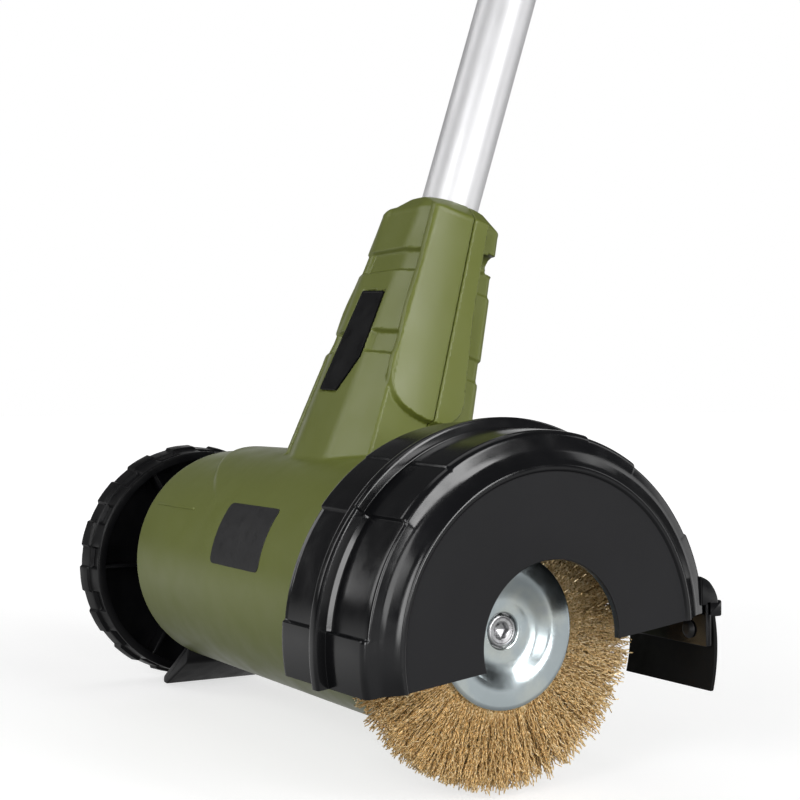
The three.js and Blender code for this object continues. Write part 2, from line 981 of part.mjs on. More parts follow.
// Gears. A tooth is a trapezoid with running backlash.
function gearShape(teeth, firstTooth) {
  const pitch = (gearModule * teeth) / 2;
  const halfTooth = (Math.PI * gearModule) / 4 - gearBacklash / 2;
  const corners = [
    [pitch - gearModule * dedendumShare, -halfTooth * rootShare],
    [pitch + gearModule * addendumShare, -halfTooth * tipShare],
    [pitch + gearModule * addendumShare, halfTooth * tipShare],
    [pitch - gearModule * dedendumShare, halfTooth * rootShare],
  ];
  const points = [];
  for (let tooth = 0; tooth < teeth; tooth += 1) {
    const centre = firstTooth + (2 * Math.PI * tooth) / teeth;
    corners.forEach(([radius, along]) => {
      const angle = centre + along / radius;
      points.push([radius * Math.cos(angle), radius * Math.sin(angle)]);
    });
  }
  return outline(points);
}

function outputGear() {
  const blank = prism(gearShape(gearTeeth, meshAngle), gearStart, gearStart + gearFace);
  return blank.subtract(bar(gearSeat + seatGap, gearStart - overrun, gearStart + gearFace + overrun));
}

function rotorShaftBody() {
  const firstTooth = meshAngle + Math.PI + Math.PI / pinionTeeth;
  const pinionStart = gearStart - pinionOverlap;
  const pinionEnd = gearStart + gearFace + pinionOverlap;
  return onMotor(union(
    prism(gearShape(pinionTeeth, firstTooth), pinionStart, pinionEnd),
    bar(rotorShaft, pinionEnd - pinionOverlap, rearBallStart + rotorBallWidth + shaftTail),
  ));
}

// Motor
function coilShell(pole, inner, outer, start, end, spread, gap) {
  const sector = wedge(pole - spread, pole + spread, outer + overrun, start - overrun, end + overrun);
  const window = block(
    point(-poleHalf - gap, stackStart - gap, -farCut),
    point(poleHalf + gap, stackStart + stackLength + gap, farCut),
  );
  return ring(inner, outer, start, end).intersect(sector).subtract(window);
}

function statorCore() {
  const end = stackStart + stackLength;
  const gap = seatGap / coilInner;
  const cutters = [Math.PI / 2, -Math.PI / 2].map((pole) => coilShell(
    pole,
    coilInner - seatGap,
    coilOuter + seatGap,
    stackStart - overrun,
    end + overrun,
    coilSpread + gap,
    0,
  ));
  const core = ring(statorBore, statorRadius, stackStart, end);
  const ends = union(
    bar(farCut, stackStart - 2 * overrun, stackStart),
    bar(farCut, end, end + 2 * overrun),
  );
  return onMotor(minus(core, ...cutters.map((cutter) => cutter.subtract(ends))));
}

function fieldCoil(pole) {
  const end = stackStart + stackLength;
  return onMotor(coilShell(
    pole,
    coilInner,
    coilOuter,
    stackStart - coilOverhang,
    end + coilOverhang,
    coilSpread,
    seatGap,
  ));
}

function slotCutter(inner, outer, halfWidth, start, end) {
  return around(block(point(-halfWidth, start, inner), point(halfWidth, end, outer)), slotCount);
}

function armatureCore() {
  const end = stackStart + stackLength;
  const core = ring(rotorShaft + seatGap, armatureRadius, stackStart, end);
  const slots = slotCutter(
    armatureRadius - slotDepth,
    armatureRadius + overrun,
    slotWidth / 2,
    stackStart - overrun,
    end + overrun,
  );
  return onMotor(core.subtract(slots));
}

function armatureWinding() {
  const end = stackStart + stackLength;
  const bars = slotCutter(
    armatureRadius - slotDepth + seatGap,
    armatureRadius - windingInset,
    slotWidth / 2 - seatGap,
    stackStart - windingOverhang / 2,
    end + windingOverhang / 2,
  );
  const outer = armatureRadius - seatGap;
  return onMotor(union(
    bars,
    ring(windingBore, outer, stackStart - windingOverhang, stackStart - seatGap),
    ring(windingBore, outer, end + seatGap, end + windingOverhang),
  ));
}

function commutator() {
  const end = commutatorStart + commutatorLength;
  return onMotor(ring(rotorShaft + seatGap, commutatorRadius, commutatorStart, end));
}

function coolingFan() {
  const blade = block(
    point(-bladeThickness / 2, fanStart + fanDisc / 2, fanHub - bladeThickness),
    point(bladeThickness / 2, fanStart + fanDisc + fanBladeHeight, fanRadius - bladeThickness),
  );
  const bore = bar(rotorShaft + seatGap, fanStart - overrun, fanStart + fanRadius);
  return onMotor(union(
    bar(fanRadius, fanStart, fanStart + fanDisc),
    bar(fanHub, fanStart, fanStart + fanDisc + fanBladeHeight, { sides: coarse }),
    around(blade, fanBlades),
  ).subtract(bore));
}

function brushHolder(side) {
  const inner = commutatorRadius + holderStandOff;
  const box = sideBox(side, inner, inner + holderLength, holderHeight / 2, holderWidth / 2);
  const inside = sideBox(
    side,
    0,
    inner + holderLength - holderWall,
    holderHeight / 2 - holderWall,
    holderWidth / 2 - holderWall,
  );
  return onMotor(box.subtract(inside));
}

function carbonBrush(side) {
  return onMotor(sideBox(
    side,
    commutatorRadius + seatGap,
    commutatorRadius + seatGap + carbonLength,
    holderHeight / 2 - holderWall - seatGap,
    holderWidth / 2 - holderWall - seatGap,
  ));
}

// Spindle, brush and arbor
const bushStart = dishDepth + discSheet + seatGap;
const bushEnd = brushPack - bushStart;
const headFloor = screwSink + screwHeadHeight + seatGap;
const pilotStart = headFloor + bushWeb + seatGap;
const flangeStart = brushPack - dishDepth + seatGap;
const ballStart = bodyFront + frontWall;

function spindleBody() {
  const seatStart = ballStart + ballWidth + slideGap;
  const seatEnd = gearStart + gearFace + seatGap;
  const end = bearingPlateEnd + spindleTail;
  return turned([
    [0, arborReach + seatGap],
    [arborThread + seatGap, arborReach + seatGap],
    [arborThread + seatGap, pilotStart],
    [spindleRadius, pilotStart],
    [spindleRadius, flangeStart],
    [flangeRadius, flangeStart],
    [flangeRadius, flangeStart + flangeThickness],
    [collarRadius, flangeStart + flangeThickness],
    [collarRadius, ballStart - seatGap],
    [spindleRadius, ballStart - seatGap],
    [spindleRadius, seatStart],
    [gearSeat, seatStart],
    [gearSeat, seatEnd],
    [spindleJournal, seatEnd],
    [spindleJournal, end],
    [0, end],
  ], coarse);
}

function brushDisc() {
  const rim = screwHead + slideGap;
  return turned([
    [rim, dishDepth],
    [discDish, dishDepth],
    [discFlat, 0],
    [discRadius, 0],
    [discRadius, discSheet],
    [discFlat + discSheet / 2, discSheet],
    [discDish + discSheet / 2, dishDepth + discSheet],
    [rim, dishDepth + discSheet],
  ], medium);
}

// The same disc, turned round to close the pack's other side
function innerDisc() {
  const turn = new THREE.Matrix4().makeRotationZ(Math.PI);
  turn.setPosition(0, brushPack, 0);
  return moved(brushDisc(), turn);
}

function brushBush() {
  const threadRoom = arborThread + slideGap;
  return turned([
    [screwHead + slideGap, bushStart],
    [bushRadius, bushStart],
    [bushRadius, bushEnd],
    [spindleRadius + slideGap, bushEnd],
    [spindleRadius + slideGap, headFloor + bushWeb],
    [threadRoom, headFloor + bushWeb],
    [threadRoom, headFloor],
    [screwHead + slideGap, headFloor],
  ], coarse);
}

function arborScrew() {
  const head = screwSink + screwHeadHeight;
  const blank = turned([
    [0, screwSink],
    [screwHead, screwSink],
    [screwHead, head],
    [arborThread, head],
    [arborThread, arborReach],
    [0, arborReach],
  ], coarse);
  return blank.subtract(bar(hexSocket, screwSink - overrun, screwSink + hexDepth, { sides: hexSides }));
}

// Wires. A ring's outer face is a grid of triangles, and a strand grows out of each. A strand's
// section shrinks inside its own triangle and all share one crimp, so that none meets another.
const ringHalf = brushPack / 2 - discSheet - seatGap;

function wireSpot(column, row) {
  return {
    angle: (2 * Math.PI * (column + (row % 2) / 2)) / wireColumns,
    across: ringHalf * ((2 * row) / wireRows - 1),
  };
}

// The two triangles of a cell of the grid, each a list of [column, row]
function wireCells(column, row) {
  const here = [column, row];
  const next = [column + 1, row];
  const up = [column, row + 1];
  const upNext = [column + 1, row + 1];
  return row % 2 ? [[here, upNext, next], [here, up, upNext]] : [[here, up, next], [next, up, upNext]];
}

function wirePack() {
  const positions = [];
  const faces = [];
  const place = (radius, { angle, across }) => {
    positions.push(radius * Math.cos(angle), brushPack / 2 + across, radius * Math.sin(angle));
    return positions.length / 3 - 1;
  };
  const circle = (radius, row) => Array.from(
    { length: wireColumns },
    (unused, column) => place(radius, wireSpot(column, row)),
  );
  const rows = Array.from({ length: wireRows + 1 }, (unused, row) => circle(wireRoot, row));
  const corner = ([column, row]) => rows[row][column % wireColumns];
  const strand = (cells) => {
    const spots = cells.map(([column, row]) => wireSpot(column, row));
    const middle = {
      angle: spots.reduce((sum, spot) => sum + spot.angle, 0) / 3,
      across: spots.reduce((sum, spot) => sum + spot.across, 0) / 3,
    };
    const scatter = wireTipScatter * ((faces.length * goldenShare) % 1);
    let below = cells.map(corner);
    wireLevelShares.forEach((share, step) => {
      const reach = (brushRadius - wireRoot) * share - (share === 1 ? scatter : 0);
      const radius = wireRoot + reach;
      const sway = (step % 2 ? -wireCrimp : wireCrimp) / radius;
      const flare = (brushFlare / ringHalf) * share ** 2;
      const above = spots.map((spot) => place(radius, {
        angle: middle.angle + sway + (spot.angle - middle.angle) * wireShrinkShare * (wireRoot / radius),
        across: middle.across * (1 + flare) + (spot.across - middle.across) * wireShrinkShare,
      }));
      below.forEach((low, index) => {
        const next = (index + 1) % 3;
        faces.push(low, below[next], above[next], low, above[next], above[index]);
      });
      below = above;
    });
    faces.push(...below);
  };
  for (let row = 0; row < wireRows; row += 1) {
    for (let column = 0; column < wireColumns; column += 1) wireCells(column, row).forEach(strand);
  }
  const near = circle(wireRingBore, 0);
  const far = circle(wireRingBore, wireRows);
  for (let column = 0; column < wireColumns; column += 1) {
    const next = (column + 1) % wireColumns;
    faces.push(rows[0][column], rows[0][next], near[next], rows[0][column], near[next], near[column]);
    faces.push(near[column], near[next], far[column], near[next], far[next], far[column]);
    const last = rows[wireRows];
    faces.push(last[column], far[next], last[next], last[column], far[column], far[next]);
  }
  return indexed(skinOf(positions, faces));
}

// Guard
function bandRadius(y) {
  const share = (y + guardFace - bandFrontSet) / (guardBack + guardFace - bandFrontSet);
  return THREE.MathUtils.lerp(bandFrontRadius, bandBackRadius, share);
}

function guardShell() {
  const front = -guardFace;
  const back = guardBack;
  const finEnd = finStart + finWidth;
  return turned([
    [archRadius, front],
    [lipInner, front],
    [lipInner, front - lipHeight],
    [lipRadius, front - lipHeight],
    [lipRadius, front],
    [bevelRadius, front + bevelSet],
    [bandFrontRadius, front + bandFrontSet],
    [bandRadius(finStart), finStart],
    [finRadius, finStart],
    [finRadius, finEnd],
    [bandRadius(finEnd), finEnd],
    [bandBackRadius, back],
    [guardBore, back],
    [guardBore, back - guardWall],
    [bandBackRadius - guardWall, back - guardWall],
    [bandFrontRadius - guardWall, front + bandFrontSet],
    [bevelRadius - guardWall, front + bevelSet + guardWall],
    [archRadius, front + guardWall],
  ], guardSides);
}

// The band's panels, sunk or raised, between two levels along the axis
function bandPanel(from, to, start, end, low, high) {
  const panel = turned([
    [bandRadius(start) + low, start],
    [bandRadius(start) + high, start],
    [bandRadius(end) + high, end],
    [bandRadius(end) + low, end],
  ], guardSides);
  return panel.intersect(wedge(from, to, finRadius, start - overrun, end + overrun));
}

function eachSideOfFin(build) {
  const front = -guardFace + bandFrontSet;
  return [
    build(front + panelMargin, finStart),
    build(finStart + finWidth, guardBack - panelMargin),
  ];
}

const guardTop = Math.PI / 2 + guardTilt;

function keepAbove(drop) {
  const floor = block(point(-farCut, -farCut, -farCut), point(farCut, farCut, 0));
  const tilt = new THREE.Matrix4().makeRotationY(-guardTilt);
  tilt.setPosition(0, 0, -drop);
  return moved(floor, tilt);
}

const ledgeTip = flapRoot + ledgeReach - flapThickness / 2;
const flapHead = ledgeTop - ledgeThickness - seatGap;
const rivetDrop = flapHead - tabHeight / 2;

function flapCarrier() {
  const tabFace = flapRoot - seatGap;
  const ledge = block(
    point(tabFace - tabWall, -flapSide, ledgeTop - ledgeThickness),
    point(ledgeTip, flapSide, ledgeTop),
  );
  const tab = block(
    point(tabFace - tabWall, -flapSide, flapHead - tabHeight),
    point(tabFace, flapSide, ledgeTop),
  );
  const gussets = [-flapSide, flapSide - gussetWall].map((start) => prism(outline([
    [tabFace - 2 * tabWall, ledgeTop - ledgeThickness / 2],
    [ledgeTip, ledgeTop - ledgeThickness / 2],
    [ledgeTip, ledgeTop],
    [tabFace - 2 * tabWall, ledgeTop + gussetHeight],
  ]), start, start + gussetWall));
  return union(ledge, tab, ...gussets);
}

const rivetFrames = [-rivetSpread, rivetSpread].map((y) => screwFrame(
  point(flapRoot + flapThickness + flapBow / 2 + seatGap, y, rivetDrop),
  point(-1, 0, 0),
));
const rivetLength = flapThickness + flapBow / 2 + tabWall + 2 * seatGap + slideGap;

function rivetRoom() {
  return bar(rivetRadius + seatGap, -overrun, rivetLength + overrun, { sides: small });
}

function rivet() {
  return turned([
    [0, -rivetHeadHeight],
    [rivetHead / 2, -rivetHeadHeight],
    [rivetHead, 0],
    [rivetRadius, 0],
    [rivetRadius, rivetLength],
    [rivetHead, rivetLength],
    [rivetHead / 2, rivetLength + rivetHeadHeight],
    [0, rivetLength + rivetHeadHeight],
  ], small);
}

function guard() {
  const sides = [-1, 1].flatMap((side) => eachSideOfFin((start, end) => {
    const from = guardTop + side * sidePanelStart;
    const to = guardTop + side * sidePanelEnd;
    return bandPanel(Math.min(from, to), Math.max(from, to), start, end, -panelRecess, overrun);
  }));
  const top = eachSideOfFin((start, end) => (
    bandPanel(guardTop - topPanelHalf, guardTop + topPanelHalf, start, end, -guardWall / 2, topPanelRise)
  ));
  const legs = block(
    point(-archRadius, -guardFace - overrun, -farCut),
    point(archRadius, -guardFace + 2 * guardWall, 0),
  );
  const hood = minus(union(guardShell(), ...top), ...sides, keepAbove(guardDrop), legs);
  const hub = ring(guardBore, guardHub, guardBack - guardWall, guardBack, medium);
  return minus(
    union(hood, hub, flapCarrier()),
    ...guardScrews.map((frame) => moved(screwRoom(guardScrewLength, overrun), frame)),
    ...rivetFrames.map((frame) => moved(rivetRoom(), frame)),
  );
}

function debrisFlap() {
  const foot = flapHead - flapHeight;
  const middle = (flapHead + foot) / 2;
  const shape = outline([
    [flapRoot, flapHead],
    [flapRoot, flapHead - tabHeight],
    [flapRoot + flapBow, middle - tabHeight / 2],
    [flapRoot, foot],
    [flapRoot + flapThickness, foot],
    [flapRoot + flapThickness + flapBow, middle - tabHeight / 2],
    [flapRoot + flapThickness + flapBow / 2, flapHead - tabHeight],
    [flapRoot + flapThickness + flapBow / 2, flapHead],
  ]);
  return minus(
    prism(shape, -flapSide, flapSide),
    ...rivetFrames.map((frame) => moved(rivetRoom(), frame)),
  );
}

// Wheel carrier and axle
function wheelCarrier() {
  const face = bodyEnd + seatGap;
  const slot = block(
    point(ventInner, face - overrun, -ventWidth / 2),
    point(ventOuter, farCut, ventWidth / 2),
  );
  const plate = union(
    ring(boreRadius - seatGap - ribWall, boreRadius - seatGap, bodyEnd - carrierSpigot, carrierFace),
    bar(bodyRadius - bodyChamfer, face, carrierFace, { sides: fine }),
  ).subtract(around(slot, ventCount, Math.PI / ventCount));
  const skid = slice([
    [face, -skidHead],
    [carrierFace, -skidHead],
    [skidEnd, -skidFoot + skidWall],
    [skidEnd, -skidFoot],
    [face, -skidHead - 2 * skidWall],
  ], -skidHalfWidth, skidHalfWidth);
  return minus(
    union(onBody(plate), bar(carrierBoss, face, carrierBossEnd), skid),
    bar(axleRadius + seatGap, face - overrun, carrierBossEnd + overrun),
    ...carrierScrews.map((frame) => moved(screwRoom(screwLength, overrun), frame)),
  );
}

const axleSeat = capFloor + seatGap;

function wheelAxle() {
  const inner = bodyEnd;
  return turned([
    [0, inner - axleHeadHeight],
    [axleHead, inner - axleHeadHeight],
    [axleHead, inner],
    [axleRadius, inner],
    [axleRadius, axleSeat],
    [axleHead, axleSeat],
    [axleHead, axleSeat + axleHeadHeight],
    [0, axleSeat + axleHeadHeight],
  ], coarse);
}

// Guide wheel
function treadPads() {
  const spread = (Math.PI / padCount) * treadPadShare;
  const outer = (treadFar + padHeight) / Math.cos(spread);
  const corners = [[rimFar, -spread], [outer, -spread], [outer, spread], [rimFar, spread]];
  const shape = outline(corners.map(([radius, angle]) => [
    radius * Math.cos(angle),
    radius * Math.sin(angle),
  ]));
  return around(prism(shape, padStart, wheelFar), padCount);
}

function guideWheel() {
  const hubBore = axleRadius + slideGap;
  const collar = capRadius + capRim;
  const body = turned([
    [hubBore, carrierBossEnd + seatGap],
    [wheelHub, carrierBossEnd + seatGap],
    [wheelHub, webStart],
    [rimFar, webStart],
    [rimNear, wheelNear],
    [treadNear, wheelNear],
    [treadFar, wheelFar],
    [rimFar, wheelFar],
    [rimFar, webStart + webWall],
    [collar, webStart + webWall],
    [collar, wheelFar],
    [capRadius + seatGap, wheelFar],
    [capRadius + seatGap, capFloor],
    [hubBore, capFloor],
  ], wheelSides);
  const rib = block(
    point(wheelHub - wheelRibWall, wheelRibStart, -wheelRibWall / 2),
    point(rimFar, webStart + webWall / 2, wheelRibWall / 2),
  );
  return union(body, treadPads(), around(rib, wheelRibs));
}

function wheelCap() {
  const face = wheelFar + capProud;
  return turned([
    [0, face - capWall],
    [capRadius - capWall, face - capWall],
    [capRadius - capWall, axleSeat],
    [capRadius, axleSeat],
    [capRadius, face - capWall / 2],
    [capRadius - capWall / 2, face],
    [0, face],
  ]);
}

// Pole
function sleeve(inner, outer, foot, head) {
  return post(outer, foot, head).subtract(post(inner, foot - overrun, head + overrun));
}

const outerTubeBore = tubeRadius + slideGap;
const outerTubeRadius = outerTubeBore + tubeWall;

// The lead rests on the lower side of the leaning tube
function leadBar(grow, foot, head) {
  return post(leadRadius + grow, foot, head, {
    x: tubeRadius - tubeWall - seatGap - leadRadius,
    sides: small,
  });
}

function standing(section) {
  return moved(turned(section), new THREE.Matrix4().makeRotationX(Math.PI / 2));
}

function lockCollar() {
  const outside = standing([
    [0, lockFoot],
    [lockNose, lockFoot],
    [lockRadius, lockFoot + lockTaper],
    [lockRadius, lockHead - lockTaper],
    [lockNose + slideGap, lockHead],
    [0, lockHead],
  ]);
  const grooves = Array.from({ length: lockGrooves }, (unused, index) => {
    const angle = (2 * Math.PI * index) / lockGrooves;
    return post(lockGrooveRadius, lockFoot + lockTaper, lockHead - lockTaper, {
      x: (lockRadius + lockGrooveRadius / 2) * Math.cos(angle),
      y: (lockRadius + lockGrooveRadius / 2) * Math.sin(angle),
      sides: small,
    });
  });
  return onStem(minus(
    outside,
    post(tubeRadius + slideGap, lockFoot - overrun, outerTubeFoot),
    post(outerTubeRadius + slideGap, outerTubeFoot - slideGap, lockHead + overrun),
    ...grooves,
  ));
}

// Auxiliary handle
const clampFoot = clampCentre - clampHeight / 2;
const boltFrame = new THREE.Matrix4().makeTranslation(-lugReach, 0, clampCentre);

function auxClamp() {
  const ears = union(
    bar(lugRadius, -lugHalfWidth, lugHalfWidth, { x: -lugReach, z: clampCentre }),
    block(
      point(-lugReach, -lugHalfWidth, clampCentre - lugRadius),
      point(-outerTubeRadius, lugHalfWidth, clampCentre + lugRadius),
    ),
  );
  const slit = block(
    point(-lugReach - 2 * lugRadius, -clampSlit / 2, clampFoot - overrun),
    point(0, clampSlit / 2, clampFoot + clampHeight + overrun),
  );
  return onStem(minus(
    union(post(clampRadius, clampFoot, clampFoot + clampHeight), ears),
    post(outerTubeRadius + seatGap, clampFoot - overrun, clampFoot + clampHeight + overrun),
    slit,
    bar(boltRadius + slideGap, -farCut, farCut, { x: -lugReach, z: clampCentre, sides: coarse }),
  ));
}

const bowFrame = new THREE.Matrix4().makeRotationY(bowLean).premultiply(boltFrame).premultiply(stemFrame);
const eyeStart = lugHalfWidth + seatGap;
const eyeEnd = eyeStart + eyeWidth;

function auxBow() {
  const leg = [
    [(eyeStart + eyeEnd) / 2, bowRootShare * bowHeight],
    [(eyeStart + eyeEnd) / 2, bowKneeShare * bowHeight],
    [bowSplayWidthShare * bowHalfWidth, bowSplayShare * bowHeight],
    [bowHalfWidth, bowShoulderShare * bowHeight],
    [bowHalfWidth, bowBendShare * bowHeight],
    [bowCornerShare * bowHalfWidth, bowCrownShare * bowHeight],
    [bowGripHalf + bowTube / 2, bowHeight],
    [bowGripHalf, bowHeight],
  ];
  const path = [
    ...leg.map(([y, z]) => point(0, y, z)),
    point(0, 0, bowHeight),
    ...leg.slice().reverse().map(([y, z]) => point(0, -y, z)),
  ];
  const eyes = [eyeStart, -eyeEnd].map((start) => union(
    bar(eyeRadius, start, start + eyeWidth),
    block(point(-bowTube, start, 0), point(bowTube, start + eyeWidth, bowKneeShare * bowHeight)),
  ));
  const bolt = bar(boltRadius + slideGap, -eyeEnd - overrun, eyeEnd + overrun, { sides: coarse });
  return moved(union(hose(bowTube, path, bowSteps, bowSides), ...eyes).subtract(bolt), bowFrame);
}

function auxGrip() {
  const grip = ring(bowTube + seatGap, bowGrip, -bowGripHalf, bowGripHalf);
  return moved(moved(grip, new THREE.Matrix4().makeTranslation(0, 0, bowHeight)), bowFrame);
}

function auxKnob() {
  const seat = eyeEnd + seatGap;
  const lobes = Array.from({ length: knobLobes }, (unused, index) => {
    const angle = (2 * Math.PI * index) / knobLobes;
    return bar(knobLobeCut, seat - overrun, seat + knobHeight + overrun, {
      x: (knobRadius + knobLobeCut / 2) * Math.cos(angle),
      z: (knobRadius + knobLobeCut / 2) * Math.sin(angle),
      sides: small,
    });
  });
  const knob = minus(bar(knobRadius, seat, seat + knobHeight), ...lobes);
  const bolt = turned([
    [0, -seat - boltHeadHeight],
    [boltHead, -seat - boltHeadHeight],
    [boltHead, -seat],
    [boltRadius, -seat],
    [boltRadius, seat + knobHeight / 2],
    [0, seat + knobHeight / 2],
  ], coarse);
  return onStem(moved(union(knob, bolt), boltFrame));
}

// Loop handle, built along its own long axis and then turned into the stem's frame
const loopFrame = new THREE.Matrix4().makeRotationY(-loopTurn);
loopFrame.setPosition(loopOut, 0, loopUp);
loopFrame.premultiply(stemFrame);
const stemFromLoop = loopFrame.clone().invert().multiply(stemFrame);

function ellipse(along, up, drop) {
  const shape = new THREE.Shape();
  shape.absellipse(0, -drop, along, up, 0, 2 * Math.PI, false, 0);
  return shape;
}

function socketPost(radius, foot, head) {
  return moved(post(radius, foot, head), stemFromLoop);
}

// A boss or a room along the loop's Y axis
function handleBar(radius, along, up, start = -farCut, end = farCut) {
  return bar(radius, start, end, { x: along, z: up, sides: coarse });
}

const handleScrews = [
  point(handleScrewRear, -handleScrewSeat, -handleScrewRearDrop),
  point(handleScrewFront, -handleScrewSeat, -handleScrewFrontDrop),
].map((place) => screwFrame(place, point(0, 1, 0)));

function gland() {
  const shape = turned([
    [glandBore, glandRoot],
    [glandFlange, glandRoot],
    [glandFlange, glandRoot + glandFlangeWall],
    [glandRadius, glandRoot + glandFlangeWall],
    [glandRadius, glandCollarStart],
    [glandCollar, glandCollarStart],
    [glandCollar, glandCollarStart + glandFlangeWall],
    [glandRadius, glandCollarStart + glandFlangeWall],
    [glandNose, glandTip],
    [glandBore, glandTip],
  ], coarse);
  return moved(shape, screwFrame(point(0, 0, 0), point(1, 0, 0)));
}

// The trigger's outline, which can grow all round into the slot for it
function triggerShape(grow, toeRoom = 0, travel = 0) {
  const heel = triggerPivotAlong - triggerHeel - grow;
  const toe = triggerPivotAlong + triggerLength + grow + toeRoom;
  const crown = triggerPivotUp + triggerCrown + grow;
  const sole = triggerPivotUp - triggerHeight - grow;
  return outline([
    [heel, crown],
    [heel, triggerPivotUp - triggerHeel],
    [triggerPivotAlong + triggerHeel, sole + triggerHeel],
    [(heel + toe) / 2, sole],
    [toe, sole + triggerCrown / 2],
    [toe, crown + travel],
  ]);
}

function trigger() {
  return minus(
    prism(triggerShape(0), -triggerHalf, triggerHalf),
    handleBar(pinRadius + slideGap, triggerPivotAlong, triggerPivotUp),
  );
}

function switchBody() {
  return block(
    point(switchAlong, -switchHalf, switchUp),
    point(switchAlong + switchLength, switchHalf, switchUp + switchHeight),
  );
}

function lockButton() {
  const face = handleHalf + buttonProud;
  const shoulder = face - buttonLength;
  return union(
    handleBar(buttonRadius, buttonAlong, buttonUp, shoulder, face),
    handleBar(buttonStem, buttonAlong, buttonUp, shoulder - buttonStemLength, shoulder),
  );
}

function loopHandle() {
  const outer = ellipse(loopLong, loopShort, 0);
  const inner = ellipse(loopLong - handleWall, loopShort - handleWall, 0);
  const fingerHole = ellipse(gripHoleLong, gripHoleShort, gripHoleDrop);
  const holeLining = ellipse(gripHoleLong + handleWall, gripHoleShort + handleWall, gripHoleDrop);
  outer.holes.push(fingerHole);
  inner.holes.push(holeLining);
  const options = { bevel: handleBevel, curveSegments: loopSteps };
  const skin = prism(outer, -handleHalf, handleHalf, options);
  const inside = prism(inner, -handleHalf + handleWall, handleHalf - handleWall, options);
  const socket = socketPost(socketRadius, handleFoot, socketHead);
  const throughHole = prism(fingerHole, -farCut, farCut, { curveSegments: loopSteps });
  const switchRoom = block(
    point(switchAlong - seatGap, -switchHalf - seatGap, switchUp - overrun),
    point(switchAlong + switchLength + seatGap, switchHalf + seatGap, farCut),
  );
  const switchRib = block(
    point(switchAlong + handleWall, -handleHalf + handleWall / 2, switchUp + handleWall),
    point(switchAlong + switchLength - handleWall, handleHalf - handleWall / 2, switchUp + 2 * handleWall),
  ).subtract(switchRoom);
  const buttonGuide = handleBar(
    buttonRadius + slideGap + buttonGuideWall,
    buttonAlong,
    buttonUp,
    handleHalf + buttonProud - buttonLength,
    handleHalf - handleWall / 2,
  );
  const bosses = handleScrews.map((frame) => {
    const place = new THREE.Vector3().setFromMatrixPosition(frame);
    return handleBar(screwBoss, place.x, place.z, -handleHalf + handleWall / 2, handleHalf - handleWall / 2);
  });
  return minus(
    union(skin, socket.subtract(throughHole)),
    minus(inside, socket, switchRib, buttonGuide, ...bosses),
    socketPost(outerTubeRadius + seatGap, handleFoot - overrun, outerTubeHead + seatGap),
    prism(
      triggerShape(slideGap + seatGap, triggerToeRoom, triggerTravel),
      -triggerHalf - slideGap,
      triggerHalf + slideGap,
    ),
    handleBar(buttonRadius + slideGap, buttonAlong, buttonUp, 0, farCut),
    rod(glandRadius + seatGap, glandRoot, glandTip, { sides: coarse }),
    ...handleScrews.map((frame) => moved(screwRoom(screwLength, farCut), frame)),
  );
}

function handleHalfSpace(side) {
  const near = (side * handleSeam) / 2;
  const far = side * farCut;
  return block(
    point(-farCut, Math.min(near, far), -farCut),
    point(farCut, Math.max(near, far), farCut),
  );
}

function onLoop(body) {
  return moved(body, loopFrame);
}

// Materials
const finishes = {
  olive: { color: 0x5f6b38, roughness: 0.45, metalness: 0 },
  black: { color: 0x16171a, roughness: 0.3, metalness: 0 },
  satinBlack: { color: 0x222326, roughness: 0.6, metalness: 0 },
  rubber: { color: 0x1b1b1c, roughness: 0.9, metalness: 0 },
  zinc: { color: 0xc9d3d4, roughness: 0.35, metalness: 0.9 },
  steel: { color: 0x9a9da0, roughness: 0.35, metalness: 1 },
  bearing: { color: 0xb8bcc0, roughness: 0.25, metalness: 1 },
  brassWire: { color: 0xa8844f, roughness: 0.45, metalness: 0.9 },
  brass: { color: 0xb59a4c, roughness: 0.4, metalness: 1 },
  bronze: { color: 0x8c6a3a, roughness: 0.5, metalness: 1 },
  copper: { color: 0xa75a32, roughness: 0.4, metalness: 1 },
  enamelWire: { color: 0x8a3d1e, roughness: 0.5, metalness: 0.3 },
  lamination: { color: 0x6c7076, roughness: 0.55, metalness: 0.8 },
  carbon: { color: 0x26272a, roughness: 0.8, metalness: 0.2 },
  castAlloy: { color: 0xa5a8a9, roughness: 0.5, metalness: 0.9 },
  nylon: { color: 0xd8d4c6, roughness: 0.5, metalness: 0 },
  anodised: { color: 0xd9dadc, roughness: 0.35, metalness: 0.8 },
  label: { color: 0x1c1d1f, roughness: 0.5, metalness: 0 },
  cable: { color: 0x2a2a2c, roughness: 0.7, metalness: 0 },
  red: { color: 0xb3261e, roughness: 0.4, metalness: 0 },
};

// The part stands on the grip point, in the middle of the loop's top bar
const gripShare = 0.65;
const part = new THREE.Group();
part.name = 'electric_weed_brush';
part.position.copy(point(0, 0, gripShare * loopShort).applyMatrix4(loopFrame)).negate();

function piece(name, body, finish) {
  const geometry = geometryOf(body).toNonIndexed();
  geometry.computeVertexNormals();
  const mesh = new THREE.Mesh(geometry, new THREE.MeshStandardMaterial(finishes[finish]));
  mesh.name = name;
  part.add(mesh);
}

